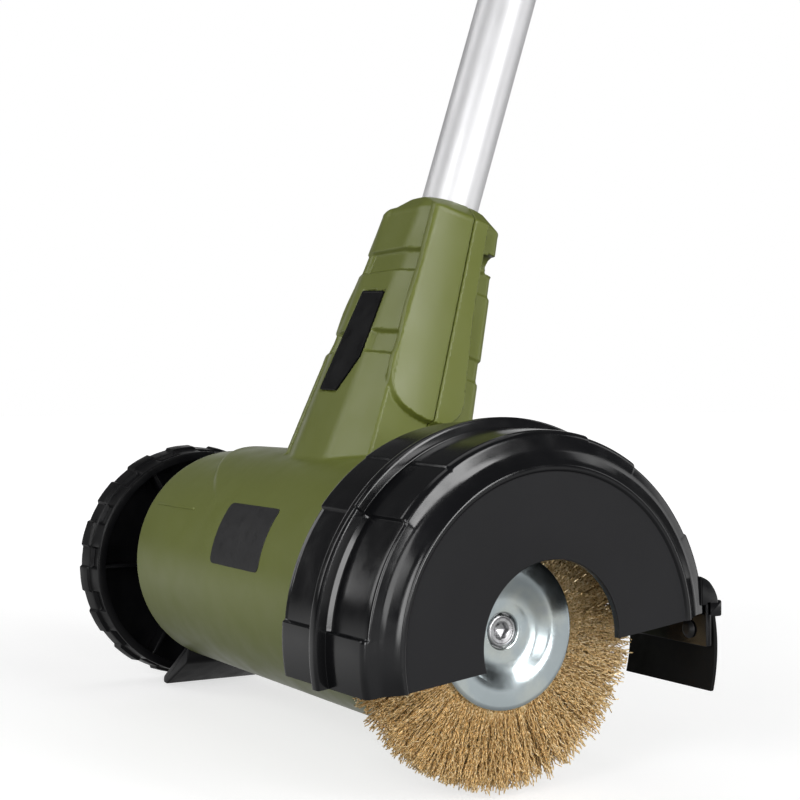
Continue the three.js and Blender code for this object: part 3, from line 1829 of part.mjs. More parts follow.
const caseBody = housing();
piece('housing_front_shell', caseBody.intersect(half(-1)), 'olive');
piece('housing_rear_shell', caseBody.intersect(half(1)), 'olive');
piece('name_plate', namePlate(), 'satinBlack');
piece('rating_label', ratingLabel(), 'label');
piece('gearbox_plate', bearingPlate(), 'castAlloy');
piece(
  'spindle_bearing_front',
  ballBearing(spindleRadius + seatGap, ballRadius, ballStart, ballWidth),
  'bearing',
);
piece('spindle_bush_rear', ring(
  spindleJournal + seatGap,
  spindleBushRadius,
  bearingPlateStart,
  bearingPlateEnd,
), 'bronze');
[
  ['rotor_bearing_front', bearingPlateStart + bearingPlateFloor],
  ['rotor_bearing_rear', rearBallStart + seatGap],
].forEach(([name, start]) => {
  const bearing = ballBearing(rotorShaft + seatGap, rotorBallRadius, start, rotorBallWidth);
  piece(name, onMotor(bearing), 'bearing');
});

piece('stator_core', statorCore(), 'lamination');
piece('field_coil_upper', fieldCoil(Math.PI / 2), 'enamelWire');
piece('field_coil_lower', fieldCoil(-Math.PI / 2), 'enamelWire');
piece('rotor_shaft', rotorShaftBody(), 'steel');
piece('armature_core', armatureCore(), 'lamination');
piece('armature_winding', armatureWinding(), 'enamelWire');
piece('commutator', commutator(), 'copper');
piece('cooling_fan', coolingFan(), 'nylon');
[['front', -1], ['rear', 1]].forEach(([place, side]) => {
  piece(`brush_holder_${place}`, brushHolder(side), 'brass');
  piece(`carbon_brush_${place}`, carbonBrush(side), 'carbon');
});

piece('spindle', spindleBody(), 'steel');
piece('output_gear', outputGear(), 'steel');
piece('brush_bush', brushBush(), 'steel');
piece('brush_disc_outer', brushDisc(), 'zinc');
piece('brush_disc_inner', innerDisc(), 'zinc');
piece('brush_wires', wirePack(), 'brassWire');
piece('arbor_screw', arborScrew(), 'zinc');

piece('guard', guard(), 'black');
piece('debris_flap', debrisFlap(), 'rubber');
rivetFrames.forEach((frame, index) => {
  piece(`flap_rivet_${index + 1}`, moved(rivet(), frame), 'steel');
});

piece('wheel_carrier', wheelCarrier(), 'satinBlack');
piece('wheel_axle', wheelAxle(), 'steel');
piece('guide_wheel', guideWheel(), 'satinBlack');
piece('wheel_cap', wheelCap(), 'black');

piece('lower_tube', onStem(sleeve(tubeRadius - tubeWall, tubeRadius, tubeFoot, tubeHead)), 'anodised');
piece('internal_lead', onStem(leadBar(0, leadStart, leadEnd)), 'cable');
piece('upper_tube', onStem(sleeve(outerTubeBore, outerTubeRadius, outerTubeFoot, outerTubeHead)), 'anodised');
piece('lock_collar', lockCollar(), 'satinBlack');
piece('aux_clamp', auxClamp(), 'satinBlack');
piece('aux_bow', auxBow(), 'satinBlack');
piece('aux_grip', auxGrip(), 'rubber');
piece('aux_knob', auxKnob(), 'satinBlack');

const handleBody = loopHandle();
const triggerPin = handleBar(
  pinRadius,
  triggerPivotAlong,
  triggerPivotUp,
  -handleHalf + handleWall / 2,
  triggerHalf + handleWall,
);
piece('handle_left_shell', onLoop(handleBody.intersect(handleHalfSpace(1))), 'olive');
piece('handle_right_shell', onLoop(handleBody.intersect(handleHalfSpace(-1)).add(triggerPin)), 'olive');
piece('trigger', onLoop(trigger()), 'red');
piece('lock_button', onLoop(lockButton()), 'red');
piece('switch_body', onLoop(switchBody()), 'satinBlack');
piece('cord_gland', onLoop(gland()), 'rubber');

[
  ['case_screw', caseScrews, screwLength],
  ['guard_screw', guardScrews, guardScrewLength],
  ['carrier_screw', carrierScrews, screwLength],
  ['handle_screw', handleScrews.map((frame) => frame.clone().premultiply(loopFrame)), screwLength],
].forEach(([name, frames, length]) => frames.forEach((frame, index) => {
  piece(`${name}_${index + 1}`, moved(screwBody(length), frame), 'steel');
}));

export default part;
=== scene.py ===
"""Looks of an electric weed brush: a wire brush under a hood, a moulded body, a wheel and a pole."""

import math

import bmesh
import bpy
import numpy as np
from bpy.props import (
    FloatProperty,
    FloatVectorProperty,
    IntProperty,
    PointerProperty,
)
from mathutils import Matrix, Vector


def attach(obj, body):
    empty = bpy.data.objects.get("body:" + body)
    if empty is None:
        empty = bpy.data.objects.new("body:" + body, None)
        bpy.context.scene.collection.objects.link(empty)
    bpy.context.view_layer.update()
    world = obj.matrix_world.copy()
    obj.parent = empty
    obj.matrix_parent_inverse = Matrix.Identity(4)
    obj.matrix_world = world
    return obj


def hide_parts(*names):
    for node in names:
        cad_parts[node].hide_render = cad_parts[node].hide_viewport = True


bl_info = {
    "name": "Weed brush looks",
    "version": (1, 0, 0),
    "blender": (4, 5, 0),
    "location": "3D View > Sidebar > Weed brush",
    "description": "Dresses the packed frame of an electric weed brush",
    "category": "Object",
}

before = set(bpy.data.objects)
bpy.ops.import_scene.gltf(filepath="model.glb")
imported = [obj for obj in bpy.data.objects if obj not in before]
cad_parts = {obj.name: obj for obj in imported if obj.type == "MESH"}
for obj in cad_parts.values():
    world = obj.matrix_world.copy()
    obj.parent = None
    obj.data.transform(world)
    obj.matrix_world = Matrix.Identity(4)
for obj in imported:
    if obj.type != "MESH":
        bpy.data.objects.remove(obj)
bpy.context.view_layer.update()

# Frames. Every piece is drawn in millimetres in one of these, and comes out in metres.
MILLIMETRE = 0.001
GRIP_POINT = (348.779, 118.0, 1033.162)
BODY_LIFT = 7.0
STEM_Y = 118.0
STEM_LEAN = math.radians(17.8)
LOOP_TURN = math.radians(38)
BOW_LEAN = math.radians(-28)
LUG_REACH = 34.0
CLAMP_LEVEL = 812.0
LOOP_REACH = 40
LOOP_HEIGHT = 1056


def shift(x, y, z):
    """A move by so many millimetres."""
    return Matrix.Translation((x, y, z))


HEAD = Matrix.Scale(MILLIMETRE, 4) @ shift(*[-value for value in GRIP_POINT])
BODY = HEAD @ shift(0, 0, BODY_LIFT)
STEM = HEAD @ shift(0, STEM_Y, BODY_LIFT) @ Matrix.Rotation(STEM_LEAN, 4, "Y")
LOOP = STEM @ shift(LOOP_REACH, 0, LOOP_HEIGHT) @ Matrix.Rotation(-LOOP_TURN, 4, "Y")
BOLT = STEM @ shift(-LUG_REACH, 0, CLAMP_LEVEL)
BOW = BOLT @ Matrix.Rotation(BOW_LEAN, 4, "Y")
UPRIGHT = Matrix.Rotation(math.radians(90), 4, "X")
QUARTER = Matrix.Rotation(math.radians(90), 4, "Z")


# Outlines and grids
def rounded(corners, radius, steps=4, closed=True):
    """The outline with its corners eased. A corner's radius may be its own."""
    corners = [np.array(corner, float) for corner in corners]
    count = len(corners)
    radii = radius if hasattr(radius, "__len__") else [radius] * count
    points = []
    for index, here in enumerate(corners):
        before = corners[index - 1] - here
        after = corners[(index + 1) % count] - here
        lengths = np.linalg.norm(before), np.linalg.norm(after)
        cut = min(radii[index], 0.48 * lengths[0], 0.48 * lengths[1])
        if cut < 1e-6 or (not closed and index in (0, count - 1)):
            points.append(here)
            continue
        start = here + before / lengths[0] * cut
        end = here + after / lengths[1] * cut
        for t in np.linspace(0, 1, steps + 1):
            points.append((1 - t) ** 2 * start + 2 * t * (1 - t) * here + t * t * end)
    return np.array(points)


def stepped(outline, spacing):
    """The closed outline with points added along its long sides."""
    points = []
    for here, ahead in zip(outline, np.roll(outline, -1, 0)):
        count = max(1, int(np.linalg.norm(ahead - here) / spacing))
        points += [here + (ahead - here) * share for share in np.linspace(0, 1, count, endpoint=False)]
    return np.array(points)


def inset(outline, distance):
    """A closed flat outline, drawn inwards along its normals."""
    tangent = np.roll(outline, -1, 0) - np.roll(outline, 1, 0)
    tangent /= np.maximum(np.linalg.norm(tangent, axis=1), 1e-9)[:, None]
    ahead = np.roll(outline, -1, 0)
    area = np.sum(outline[:, 0] * ahead[:, 1] - ahead[:, 0] * outline[:, 1])
    normal = np.stack([-tangent[:, 1], tangent[:, 0]], axis=1) * np.sign(area)
    return outline + normal * distance


def grid(points, wrap_rows=False, wrap_columns=True, caps=False):
    """A mesh part from rows and columns of points."""
    rows, columns = points.shape[:2]
    i = np.arange(rows if wrap_rows else rows - 1)
    j = np.arange(columns if wrap_columns else columns - 1)
    i, j = [axis.ravel() for axis in np.meshgrid(i, j, indexing="ij")]
    below, across = (i + 1) % rows, (j + 1) % columns
    corners = [i * columns + j, i * columns + across, below * columns + across, below * columns + j]
    faces = np.stack(corners, axis=1).tolist()
    if caps and wrap_columns:
        faces.append(list(range(columns))[::-1])
        faces.append([(rows - 1) * columns + j for j in range(columns)])
    if caps and wrap_rows:
        faces.append([i * columns for i in range(rows)][::-1])
        faces.append([i * columns + columns - 1 for i in range(rows)])
    return points.reshape(-1, 3), faces


def about_axis(radius, level, angles):
    """Rows of points about the Y axis. The radius may change with the angle."""
    level = np.repeat(level[:, None], len(angles), axis=1)
    return np.stack([radius * np.cos(angles), level, radius * np.sin(angles)], axis=-1)


def lathe(section, columns=96, turn=(0.0, 360.0), closed=True):
    """A section of (radius, y) turned about the Y axis. An open section ends on the axis."""
    section = np.asarray(section, float)
    whole = abs(turn[1] - turn[0]) > 359.9
    angles = np.radians(np.linspace(*turn, columns + (0 if whole else 1), endpoint=not whole))
    points = about_axis(section[:, :1], section[:, 1], angles)
    return grid(points, wrap_rows=closed, wrap_columns=whole, caps=closed and not whole)


def turned(corners, ease, columns=96, steps=4, closed=True):
    """A lathed part, from the corners of its section."""
    return lathe(rounded(corners, ease, steps, closed), columns, closed=closed)


def pipe(inner, outer, low, high, ease=0.4, columns=96):
    """A straight ring from low to high along Y."""
    return turned([(inner, low), (outer, low), (outer, high), (inner, high)], ease, columns)


def slab(outline, low, high, edge=0.8, steps=3):
    """A flat outline in X and Z, as thick as low to high along Y, with eased edges."""
    outline = np.asarray(outline, float)
    turns = np.linspace(0, math.pi / 2, steps + 1)
    rings = [(edge * (1 - math.sin(t)), low + edge * (1 - math.cos(t))) for t in turns]
    rings += [(edge * (1 - math.sin(t)), high - edge * (1 - math.cos(t))) for t in turns[::-1]]
    flats = [(inset(outline, shrink), level) for shrink, level in rings]
    points = [np.insert(flat, 1, level, axis=1) for flat, level in flats]
    return grid(np.array(points), caps=True)


def box(low, high, edge=0.6, steps=3):
    """A block with eased edges."""
    corners = [(low[0], low[2]), (high[0], low[2]), (high[0], high[2]), (low[0], high[2])]
    return slab(rounded(corners, edge, steps), low[1], high[1], edge, steps)


def curve_through(points, steps):
    """A smooth path through the points."""
    points = np.asarray(points, float)
    ends = [2 * points[0] - points[1], *points, 2 * points[-1] - points[-2]]
    path = []
    for index in range(1, len(ends) - 2):
        p0, p1, p2, p3 = ends[index - 1:index + 3]
        for t in np.linspace(0, 1, steps, endpoint=False):
            path.append(0.5 * (
                2 * p1 + (p2 - p0) * t + (2 * p0 - 5 * p1 + 4 * p2 - p3) * t ** 2
                + (3 * p1 - p0 - 3 * p2 + p3) * t ** 3
            ))
    path.append(points[-1])
    return np.array(path)


def hose(path, radius, sides=24):
    """A round bar along a path, closed at both ends. The radius may change along it."""
    path = np.asarray(path, float)
    radii = radius if hasattr(radius, "__len__") else np.full(len(path), radius)
    tangents = np.gradient(path, axis=0)
    tangents /= np.linalg.norm(tangents, axis=1)[:, None]
    side = np.cross(tangents[0], (0.0, 1.0, 0.0))
    if np.linalg.norm(side) < 0.1:
        side = np.cross(tangents[0], (1.0, 0.0, 0.0))
    angles = np.linspace(0, 2 * math.pi, sides, endpoint=False)
    rings = []
    for point, tangent, size in zip(path, tangents, radii):
        side = side - tangent * np.dot(side, tangent)
        side /= np.linalg.norm(side)
        other = np.cross(tangent, side)
        rings.append(
            point + size * (np.cos(angles)[:, None] * side + np.sin(angles)[:, None] * other)
        )
    return grid(np.array(rings), caps=True)


def set_in(part, matrix):
    """The part moved by a matrix, still in millimetres."""
    points, faces = part
    turn = np.array(matrix.to_3x3())
    return np.asarray(points) @ turn.T + np.array(matrix.translation), faces


def ring_of(part, count, start=0.0):
    """Copies of a part around the Y axis."""
    turns = [start + 2 * math.pi * index / count for index in range(count)]
    return [set_in(part, Matrix.Rotation(turn, 4, "Y")) for turn in turns]


# Smooth bodies, given as a field that is negative inside
def soft_min(a, b, ease):
    """The union of two bodies, with a fillet."""
    share = np.clip(0.5 + 0.5 * (b - a) / ease, 0, 1)
    return b + (a - b) * share - ease * share * (1 - share)


def soft_max(a, b, ease):
    """What two bodies share, with an eased edge."""
    return -soft_min(-a, -b, ease)


def round_box(x, y, half_x, half_y, radius):
    """Distance to a flat box with round corners."""
    over_x = np.abs(x) - (half_x - radius)
    over_y = np.abs(y) - (half_y - radius)
    outside = np.hypot(np.maximum(over_x, 0), np.maximum(over_y, 0))
    return outside + np.minimum(np.maximum(over_x, over_y), 0) - radius


def ellipse_field(x, y, along, up):
    """About the distance to an ellipse."""
    reach = np.sqrt((x / along) ** 2 + (y / up) ** 2)
    slope = np.sqrt((x / along ** 2) ** 2 + (y / up ** 2) ** 2)
    return reach * (reach - 1) / np.maximum(slope, 1e-6)


def inside_outline(x, y, corners):
    """Distance inside a flat outline, negative outside."""
    best = np.full(x.shape, 1e9)
    crossed = np.zeros(x.shape, bool)
    for (x0, y0), (x1, y1) in zip(corners, corners[1:] + corners[:1]):
        length = (x1 - x0) ** 2 + (y1 - y0) ** 2
        t = np.clip(((x - x0) * (x1 - x0) + (y - y0) * (y1 - y0)) / length, 0, 1)
        best = np.minimum(best, np.hypot(x - x0 - t * (x1 - x0), y - y0 - t * (y1 - y0)))
        spans = (y0 > y) != (y1 > y)
        crossed ^= spans & (x < x0 + (y - y0) * (x1 - x0) / (y1 - y0 if y1 != y0 else 1e-9))
    return np.where(crossed, best, -best)


SETTLE_ROUNDS = 3
CUBE_EDGES = [
    (corner, tuple(np.add(corner, step)))
    for step in ((1, 0, 0), (0, 1, 0), (0, 0, 1))
    for corner in np.ndindex(2, 2, 2)
    if max(np.add(corner, step)) < 2
]


def skin(field, low, high, step):
    """The surface where a field is zero, as a mesh part with a normal for each point."""
    axes = [np.arange(a - step, b + 2 * step, step) for a, b in zip(low, high)]
    values = np.empty([len(axis) for axis in axes], np.float32)
    for index, x in enumerate(axes[0]):
        y, z = np.meshgrid(axes[1], axes[2], indexing="ij")
        values[index] = field(np.full(y.shape, x), y, z)
    solid = values < 0
    count = sum(
        solid[tuple(slice(a, size - 1 + a) for a, size in zip(corner, solid.shape))].astype(np.int8)
        for corner in np.ndindex(2, 2, 2)
    )
    cells = np.argwhere((count > 0) & (count < 8))
    number = np.full(count.shape, -1, np.int64)
    number[tuple(cells.T)] = np.arange(len(cells))
    total = np.zeros((len(cells), 3))
    weight = np.zeros(len(cells))
    for start, end in CUBE_EDGES:
        a = values[tuple((cells + start).T)].astype(float)
        b = values[tuple((cells + end).T)].astype(float)
        cross = (a < 0) != (b < 0)
        share = np.where(cross, a / np.where(cross, a - b, 1), 0)
        spot = np.array(start) + share[:, None] * (np.array(end) - np.array(start))
        total += spot * cross[:, None]
        weight += cross
    points = np.array([axis[0] for axis in axes]) + (cells + total / weight[:, None]) * step
    for _ in range(SETTLE_ROUNDS):
        value, slope = slope_of(field, points)
        move = value / np.maximum(np.sum(slope ** 2, axis=1), 0.2)
        points -= np.clip(move, -0.4 * step, 0.4 * step)[:, None] * slope
    faces = []
    for axis in range(3):
        one, two = (axis + 1) % 3, (axis + 2) % 3
        near = np.moveaxis(solid, axis, 0)[:-1]
        far = np.moveaxis(solid, axis, 0)[1:]
        change = np.moveaxis(near != far, 0, axis)
        spots = np.argwhere(change)
        spots = spots[(spots[:, one] > 0) & (spots[:, two] > 0)]
        limit = np.array(count.shape)
        spots = spots[(spots[:, one] < limit[one]) & (spots[:, two] < limit[two])]
        quad = []
        for back_one, back_two in ((1, 1), (0, 1), (0, 0), (1, 0)):
            cell = spots.copy()
            cell[:, one] -= back_one
            cell[:, two] -= back_two
            quad.append(number[tuple(cell.T)])
        quad = np.stack(quad, axis=1)
        flip = ~solid[tuple(spots.T)]
        quad[flip] = quad[flip][:, ::-1]
        faces.append(quad)
    _, normals = slope_of(field, points)
    normals /= np.maximum(np.linalg.norm(normals, axis=1), 1e-9)[:, None]
    return points, np.concatenate(faces).tolist(), normals


def slope_of(field, points, reach=0.08):
    """A field's value and slope at points."""
    value = field(*points.T)
    slope = np.stack([
        (field(*(points + offset).T) - field(*(points - offset).T)) / (2 * reach)
        for offset in np.eye(3) * reach
    ], axis=1)
    return value, slope


# Finishes
FINISHES = {}


def add_node(tree, kind, inputs=(), **settings):
    """A node with its settings, and with its inputs set to values or linked to sockets."""
    made = tree.nodes.new(kind)
    for key, value in settings.items():
        setattr(made, key, value)
    for key, value in dict(inputs).items():
        if isinstance(value, bpy.types.NodeSocket):
            tree.links.new(value, made.inputs[key])
        else:
            made.inputs[key].default_value = value
    return made


def fill_ramp(ramp, stops):
    """Sets a colour ramp from a list of (position, colour)."""
    first, last = ramp.elements
    first.position, first.color = stops[0][0], (*stops[0][1], 1)
    last.position, last.color = stops[-1][0], (*stops[-1][1], 1)
    for position, colour in stops[1:-1]:
        ramp.elements.new(position).color = (*colour, 1)


class Finish:
    """A procedural material, built up one layer at a time."""

    def __init__(self, name, colour, rough, metal=0.0):
        self.material = bpy.data.materials.new(name)
        FINISHES[name] = self.material
        self.material.use_nodes = True
        self.tree = self.material.node_tree
        self.shader = self.tree.nodes["Principled BSDF"]
        self.place = self.node("ShaderNodeTexCoord").outputs["Object"]
        self.colour = colour
        self.rough = rough
        self.set(Roughness=rough, Metallic=metal, Base_Color=(*colour, 1))

    def node(self, kind, inputs=(), **settings):
        """A new node of the finish."""
        return add_node(self.tree, kind, inputs, **settings)

    def link(self, source, target):
        """Feeds a socket of the shader."""
        self.tree.links.new(source, self.shader.inputs[target])

    def set(self, **values):
        """Sets sockets of the shader. An underscore stands for a space."""
        for key, value in values.items():
            self.shader.inputs[key.replace("_", " ")].default_value = value

    def grain(self, size, detail, stretch=(1, 1, 1)):
        """Noise whose patches are about so many millimetres across, or cells where no detail is given."""
        scale = 1 / (size * MILLIMETRE)
        if detail is None:
            cells = self.node("ShaderNodeTexVoronoi", {"Scale": scale, "Vector": self.place})
            return cells.outputs["Distance"]
        place = self.node("ShaderNodeMapping", {"Scale": stretch, "Vector": self.place}).outputs["Vector"]
        made = self.node("ShaderNodeTexNoise", {"Scale": scale, "Detail": detail, "Vector": place})
        return made.outputs["Fac"]

    def ranged(self, source, low, high, start=0.3, end=0.7):
        """The source, from start to end, as a value from low to high."""
        return self.node("ShaderNodeMapRange", {
            "Value": source, "From Min": start, "From Max": end, "To Min": low, "To Max": high,
        }).outputs["Result"]

    def patchy(self, size, detail, spread, stretch=(1, 1, 1)):
        """The finish's own colour, darker and lighter from place to place.

        spread says by how much, or lists (position, colour). A number there is a share of the own colour.
        """
        stops = spread if isinstance(spread, list) else [(0.3, 1 - spread), (0.7, 1 + spread)]
        shades = [
            (position, shade if isinstance(shade, tuple) else [min(1, shade * own) for own in self.colour])
            for position, shade in stops
        ]
        ramp = self.node("ShaderNodeValToRGB", {"Fac": self.grain(size, detail, stretch)})
        fill_ramp(ramp.color_ramp, shades)
        self.link(ramp.outputs["Color"], "Base Color")

    def uneven(self, size, detail, spread, stretch=(1, 1, 1)):
        """Roughness that varies from place to place."""
        low, high = max(0.02, self.rough - spread), min(1, self.rough + spread)
        self.link(self.ranged(self.grain(size, detail, stretch), low, high), "Roughness")

    def bump(self, size, detail, depth, strength, stretch=(1, 1, 1)):
        """A relief so many millimetres deep."""
        made = self.node("ShaderNodeBump", {
            "Strength": strength,
            "Distance": depth * MILLIMETRE,
            "Height": self.grain(size, detail, stretch),
        })
        self.link(made.outputs["Normal"], "Normal")


class WeedBrushColours(bpy.types.PropertyGroup):
    """Colours of the mouldings, the metal parts and the wires."""

    olive: FloatVectorProperty(
        name="Olive", description="Moulded body and handle", subtype="COLOR", size=3,
        default=(0.112, 0.130, 0.024), min=0, max=1,
    )
    black: FloatVectorProperty(
        name="Black", description="Glossy hood and wheel", subtype="COLOR", size=3,
        default=(0.0042, 0.0043, 0.005), min=0, max=1,
    )
    wire: FloatVectorProperty(
        name="Wire", description="Brass-coated wires", subtype="COLOR", size=3,
        default=(0.66, 0.46, 0.20), min=0, max=1,
    )
    zinc: FloatVectorProperty(
        name="Zinc", description="Plated discs", subtype="COLOR", size=3,
        default=(0.53, 0.60, 0.62), min=0, max=1,
    )
    tube: FloatVectorProperty(
        name="Tube", description="Satin pole", subtype="COLOR", size=3,
        default=(0.62, 0.62, 0.63), min=0, max=1,
    )
    accent: FloatVectorProperty(
        name="Accent", description="Trigger and button", subtype="COLOR", size=3,
        default=(0.45, 0.02, 0.015), min=0, max=1,
    )


class WeedBrushSizes(bpy.types.PropertyGroup):
    """Sizes that can be changed without touching the frame."""

    wires: IntProperty(
        name="Wires", description="How many wires the brush holds", default=6400, min=200, max=12000,
    )
    wire_thickness: FloatProperty(
        name="Wire thickness", description="Diameter of one wire", unit="LENGTH",
        default=0.00046, min=0.0001, max=0.002, precision=5,
    )
    crimp: FloatProperty(
        name="Crimp", description="Height of the waves in a wire", unit="LENGTH",
        default=0.00065, min=0, max=0.003, precision=5,
    )
    skin_step: FloatProperty(
        name="Skin step", description="Mesh spacing of the moulded bodies", unit="LENGTH",
        default=0.0009, min=0.0004, max=0.004, precision=5,
    )
    floor_reach: FloatProperty(
        name="Floor reach", description="Half the width of the floor", unit="LENGTH",
        default=12.0, min=1, max=50,
    )


ZINC_SHADES = [(0.3, 0.93), (0.5, 1.0), (0.62, (0.64, 0.69, 0.66)), (0.75, (0.56, 0.61, 0.66))]
# Wire colours: each wire's own tone, varying from wire to wire, plus a dark stop that is painted shade and a
# near-white stop that is painted highlight
WIRE_TONE_AND_PAINTED_LIGHT = [(0.28, 0.2), (0.45, 1.0), (0.58, (0.88, 0.68, 0.38)), (0.72, (1.0, 0.9, 0.68))]
TURNED = (1, 6, 1)
WOUND = (1, 0.15, 1)

# Each finish: colour or the name of one, roughness, metal, patches, unevenness, relief, and shine if not 0.5
FINISH_TABLE = {
    "olive_moulding": ("olive", 0.36, 0, (60, 2, 0.05), (14, 4, 0.05), (0.55, 2, 0.012, 0.6), 0.4),
    "black_gloss": ("black", 0.17, 0, (35, 2, 0.15), (9, 5, 0.06), (9, 2, 0.02, 0.5), 0.4),
    "black_grained": (
        (0.009, 0.009, 0.010), 0.5, 0, (45, 3, 0.1), (12, 5, 0.06), (0.45, 3, 0.02, 0.7), 0.17),
    "black_satin": (
        (0.0035, 0.0035, 0.004), 0.34, 0, (30, 2, 0.15), (8, 4, 0.08), (0.5, 2, 0.01, 0.5), 0.14),
    "rubber": ((0.004, 0.004, 0.004), 0.6, 0, (20, 3, 0.2), (5, 5, 0.1), (0.7, 3, 0.03, 0.8), 0.1),
    "zinc_plate": ("zinc", 0.2, 0.95, (22, 4, ZINC_SHADES), (7, 5, 0.05), (1.2, 4, 0.004, 0.4)),
    "turned_steel": ((0.5, 0.5, 0.51), 0.3, 1, (6, 4, 0.12), (2, 5, 0.1), (0.4, 3, 0.008, 0.6, TURNED)),
    "blackened_steel": ((0.02, 0.02, 0.021), 0.45, 0.6, (3, 4, 0.2), (2, 4, 0.1), (0.6, 3, 0.01, 0.5)),
    # The wires' patches: their own tone, with painted shade and painted highlights mixed in
    "brassed_wire": ("wire", 0.36, 0.4, (0.8, 2, WIRE_TONE_AND_PAINTED_LIGHT), (1.5, 4, 0.1), (0.3, 2, 0.01, 0.4)),
    "satin_tube": (
        "tube", 0.46, 0.6, (25, 3, 0.03), (6, 4, 0.05, (1, 1, 0.2)), (0.5, 3, 0.004, 0.6, (1, 1, 0.05))),
    "label_film": ((0.011, 0.011, 0.012), 0.42, 0, (18, 3, 0.12), (6, 5, 0.08), (1.5, 3, 0.006, 0.4), 0.3),
    "red_moulding": ("accent", 0.35, 0, (15, 3, 0.08), (5, 4, 0.06), (0.5, 2, 0.01, 0.5)),
    "cast_alloy": ((0.42, 0.42, 0.43), 0.5, 0.9, (8, 5, 0.15), (2, 5, 0.1), (0.8, 4, 0.05, 0.8)),
    "copper": ((0.55, 0.22, 0.1), 0.32, 1, (5, 4, 0.2), (2, 5, 0.1), (0.4, 3, 0.01, 0.6, TURNED)),
    "enamelled_wire": (
        (0.26, 0.07, 0.02), 0.4, 0.3, (1.2, 3, 0.4, WOUND), (2, 3, 0.1), (0.8, 2, 0.3, 1, WOUND)),
    "stacked_sheet": (
        (0.16, 0.17, 0.18), 0.5, 0.8, (1, 3, 0.25, (0.1, 2, 0.1)), (3, 3, 0.1),
        (0.6, 2, 0.1, 1, (0.05, 2, 0.05))),
    "pressed_brass": ((0.62, 0.45, 0.16), 0.34, 1, (6, 4, 0.15), (2, 4, 0.1), (1, 3, 0.01, 0.5)),
    "pressed_carbon": ((0.02, 0.02, 0.022), 0.6, 0.1, (1.5, 5, 0.4), (2, 4, 0.1), (0.5, None, 0.05, 0.6)),
    "natural_nylon": ((0.68, 0.65, 0.56), 0.45, 0, (12, 3, 0.05), (4, 4, 0.08), (0.6, 2, 0.01, 0.5)),
}


def make_finishes(colours):
    """Every material of the object."""
    for name, (colour, rough, metal, patches, unevenness, relief, *shine) in FINISH_TABLE.items():
        if isinstance(colour, str):
            colour = tuple(getattr(colours, colour))
        made = Finish(name, colour, rough, metal)
        made.patchy(*patches)
        made.uneven(*unevenness)
        made.bump(*relief)
        for level in shine:
            made.set(Specular_IOR_Level=level)


# Building pieces
SAME_POINT = 0.002 * MILLIMETRE


def build(name, parts, matrix, finish, body, nodes=(), sharp=30.0, extra=()):
    """One piece of the object, from mesh parts in millimetres."""
    points, faces, normals, start = [], [], [], 0
    for part in parts:
        spots, sides = np.asarray(part[0], float), part[1]
        points.append(spots)
        faces.extend([[index + start for index in face] for face in sides])
        start += len(spots)
        normals.append(part[2] if len(part) > 2 else None)
    points = np.concatenate(points)
    turn = np.array(matrix.to_3x3()) / MILLIMETRE
    moved = points @ (turn * MILLIMETRE).T + np.array(matrix.translation)
    mesh = bpy.data.meshes.new(name)
    mesh.from_pydata(moved.tolist(), [], faces)
    if all(item is not None for item in normals):
        mesh.polygons.foreach_set("use_smooth", [True] * len(mesh.polygons))
        mesh.normals_split_custom_set_from_vertices((np.concatenate(normals) @ turn.T).tolist())
    else:
        work = bmesh.new()
        work.from_mesh(mesh)
        bmesh.ops.remove_doubles(work, verts=work.verts, dist=SAME_POINT)
        bmesh.ops.dissolve_degenerate(work, edges=work.edges, dist=SAME_POINT / 2)
        bmesh.ops.recalc_face_normals(work, faces=work.faces)
        work.to_mesh(mesh)
        work.free()
        mesh.shade_smooth()
        mesh.set_sharp_from_angle(angle=math.radians(sharp))
    for used in (finish, *extra):
        mesh.materials.append(FINISHES[used])
    piece = bpy.data.objects.new(name, mesh)
    bpy.context.scene.collection.objects.link(piece)
    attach(piece, body)
    if nodes:
        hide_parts(*nodes)
    return piece


def shade_where(piece, index, test):
    """Gives the faces that pass the test another of the piece's materials."""
    inverse = HEAD.inverted()
    turn = inverse.to_3x3().normalized()
    for face in piece.data.polygons:
        if test(inverse @ face.center, (turn @ face.normal).normalized()):
            face.material_index = index


# Housing
BODY_RADIUS = 49.65
BODY_FRONT = 31.5
BODY_END = 231.3
BODY_WALL = 2.6
SADDLE_RADIUS = 44.6
SADDLE_LIFT = 7.83
SADDLE_TOP = 52.4
SADDLE_END = 212.0
SADDLE_RAKE = 2.1
RIM_LEVEL = 163.2
SHOULDER_LEVEL = 155.0
DOME_LEVEL = 157.0
NECK_FOOT = 18.0
RIM_RADIUS = 16.2
TUBE_ROOM = 12.9
PAD_RISE = 2.1
PAD_BEVEL = 1.6
PAD_CROWN = 2.4
CROWN_MIDDLE = 1
CROWN_REACH = 22
PAD_OUTLINE = [
    (-20, 172), (-20, 153), (-21.4, 124), (-23.3, 112), (-22.8, 97), (-24.6, 88), (-23.4, 80),
    (-20.6, 74), (-16, 70), (-7, 67), (4, 67), (11, 70), (14.7, 77), (12.6, 94), (10.7, 111),
    (9.4, 130), (8.6, 172),
]
PAD_EDGE = [tuple(point) for point in rounded(PAD_OUTLINE, 9, 3)]
PLATE_OUTLINE = [(17, 73.5), (12, 119.2), (-6.8, 118), (-7, 88), (2.4, 73)]
DENTS = ((128.0, 137.3), (91.0, 100.3))
DENT_DEPTH = 2.4
DENT_EASE = 0.9
PLATE_SINK = 0.7

# The raised heel at the foot of the far pad: where it stands, how thick it is and where it fades
HEEL_PLACE = (3.0, 2.2)
HEEL_EDGE = (1.2, 2.6)
HEEL_FADE = (86, 92)

SEAM_HALF = 0.16
SPINDLE_ROOM = 14.5
FRONT_BOX = ((-51, 31, -44), (52, 233, 168))
REAR_BOX = ((-16, 31, -44), (78, 233, 172))
RIB_SPAN = (180, 223)
RIB_ANGLES = (180 - 32.7, 180 - 31.5)

# Beside the near and the far pad: where the dents' facet starts, and how wide the pad's edge is
FACET_SLOPE = 0.26
FACET_START = (10, 18)
PAD_LIP = (2.6, 6.0)

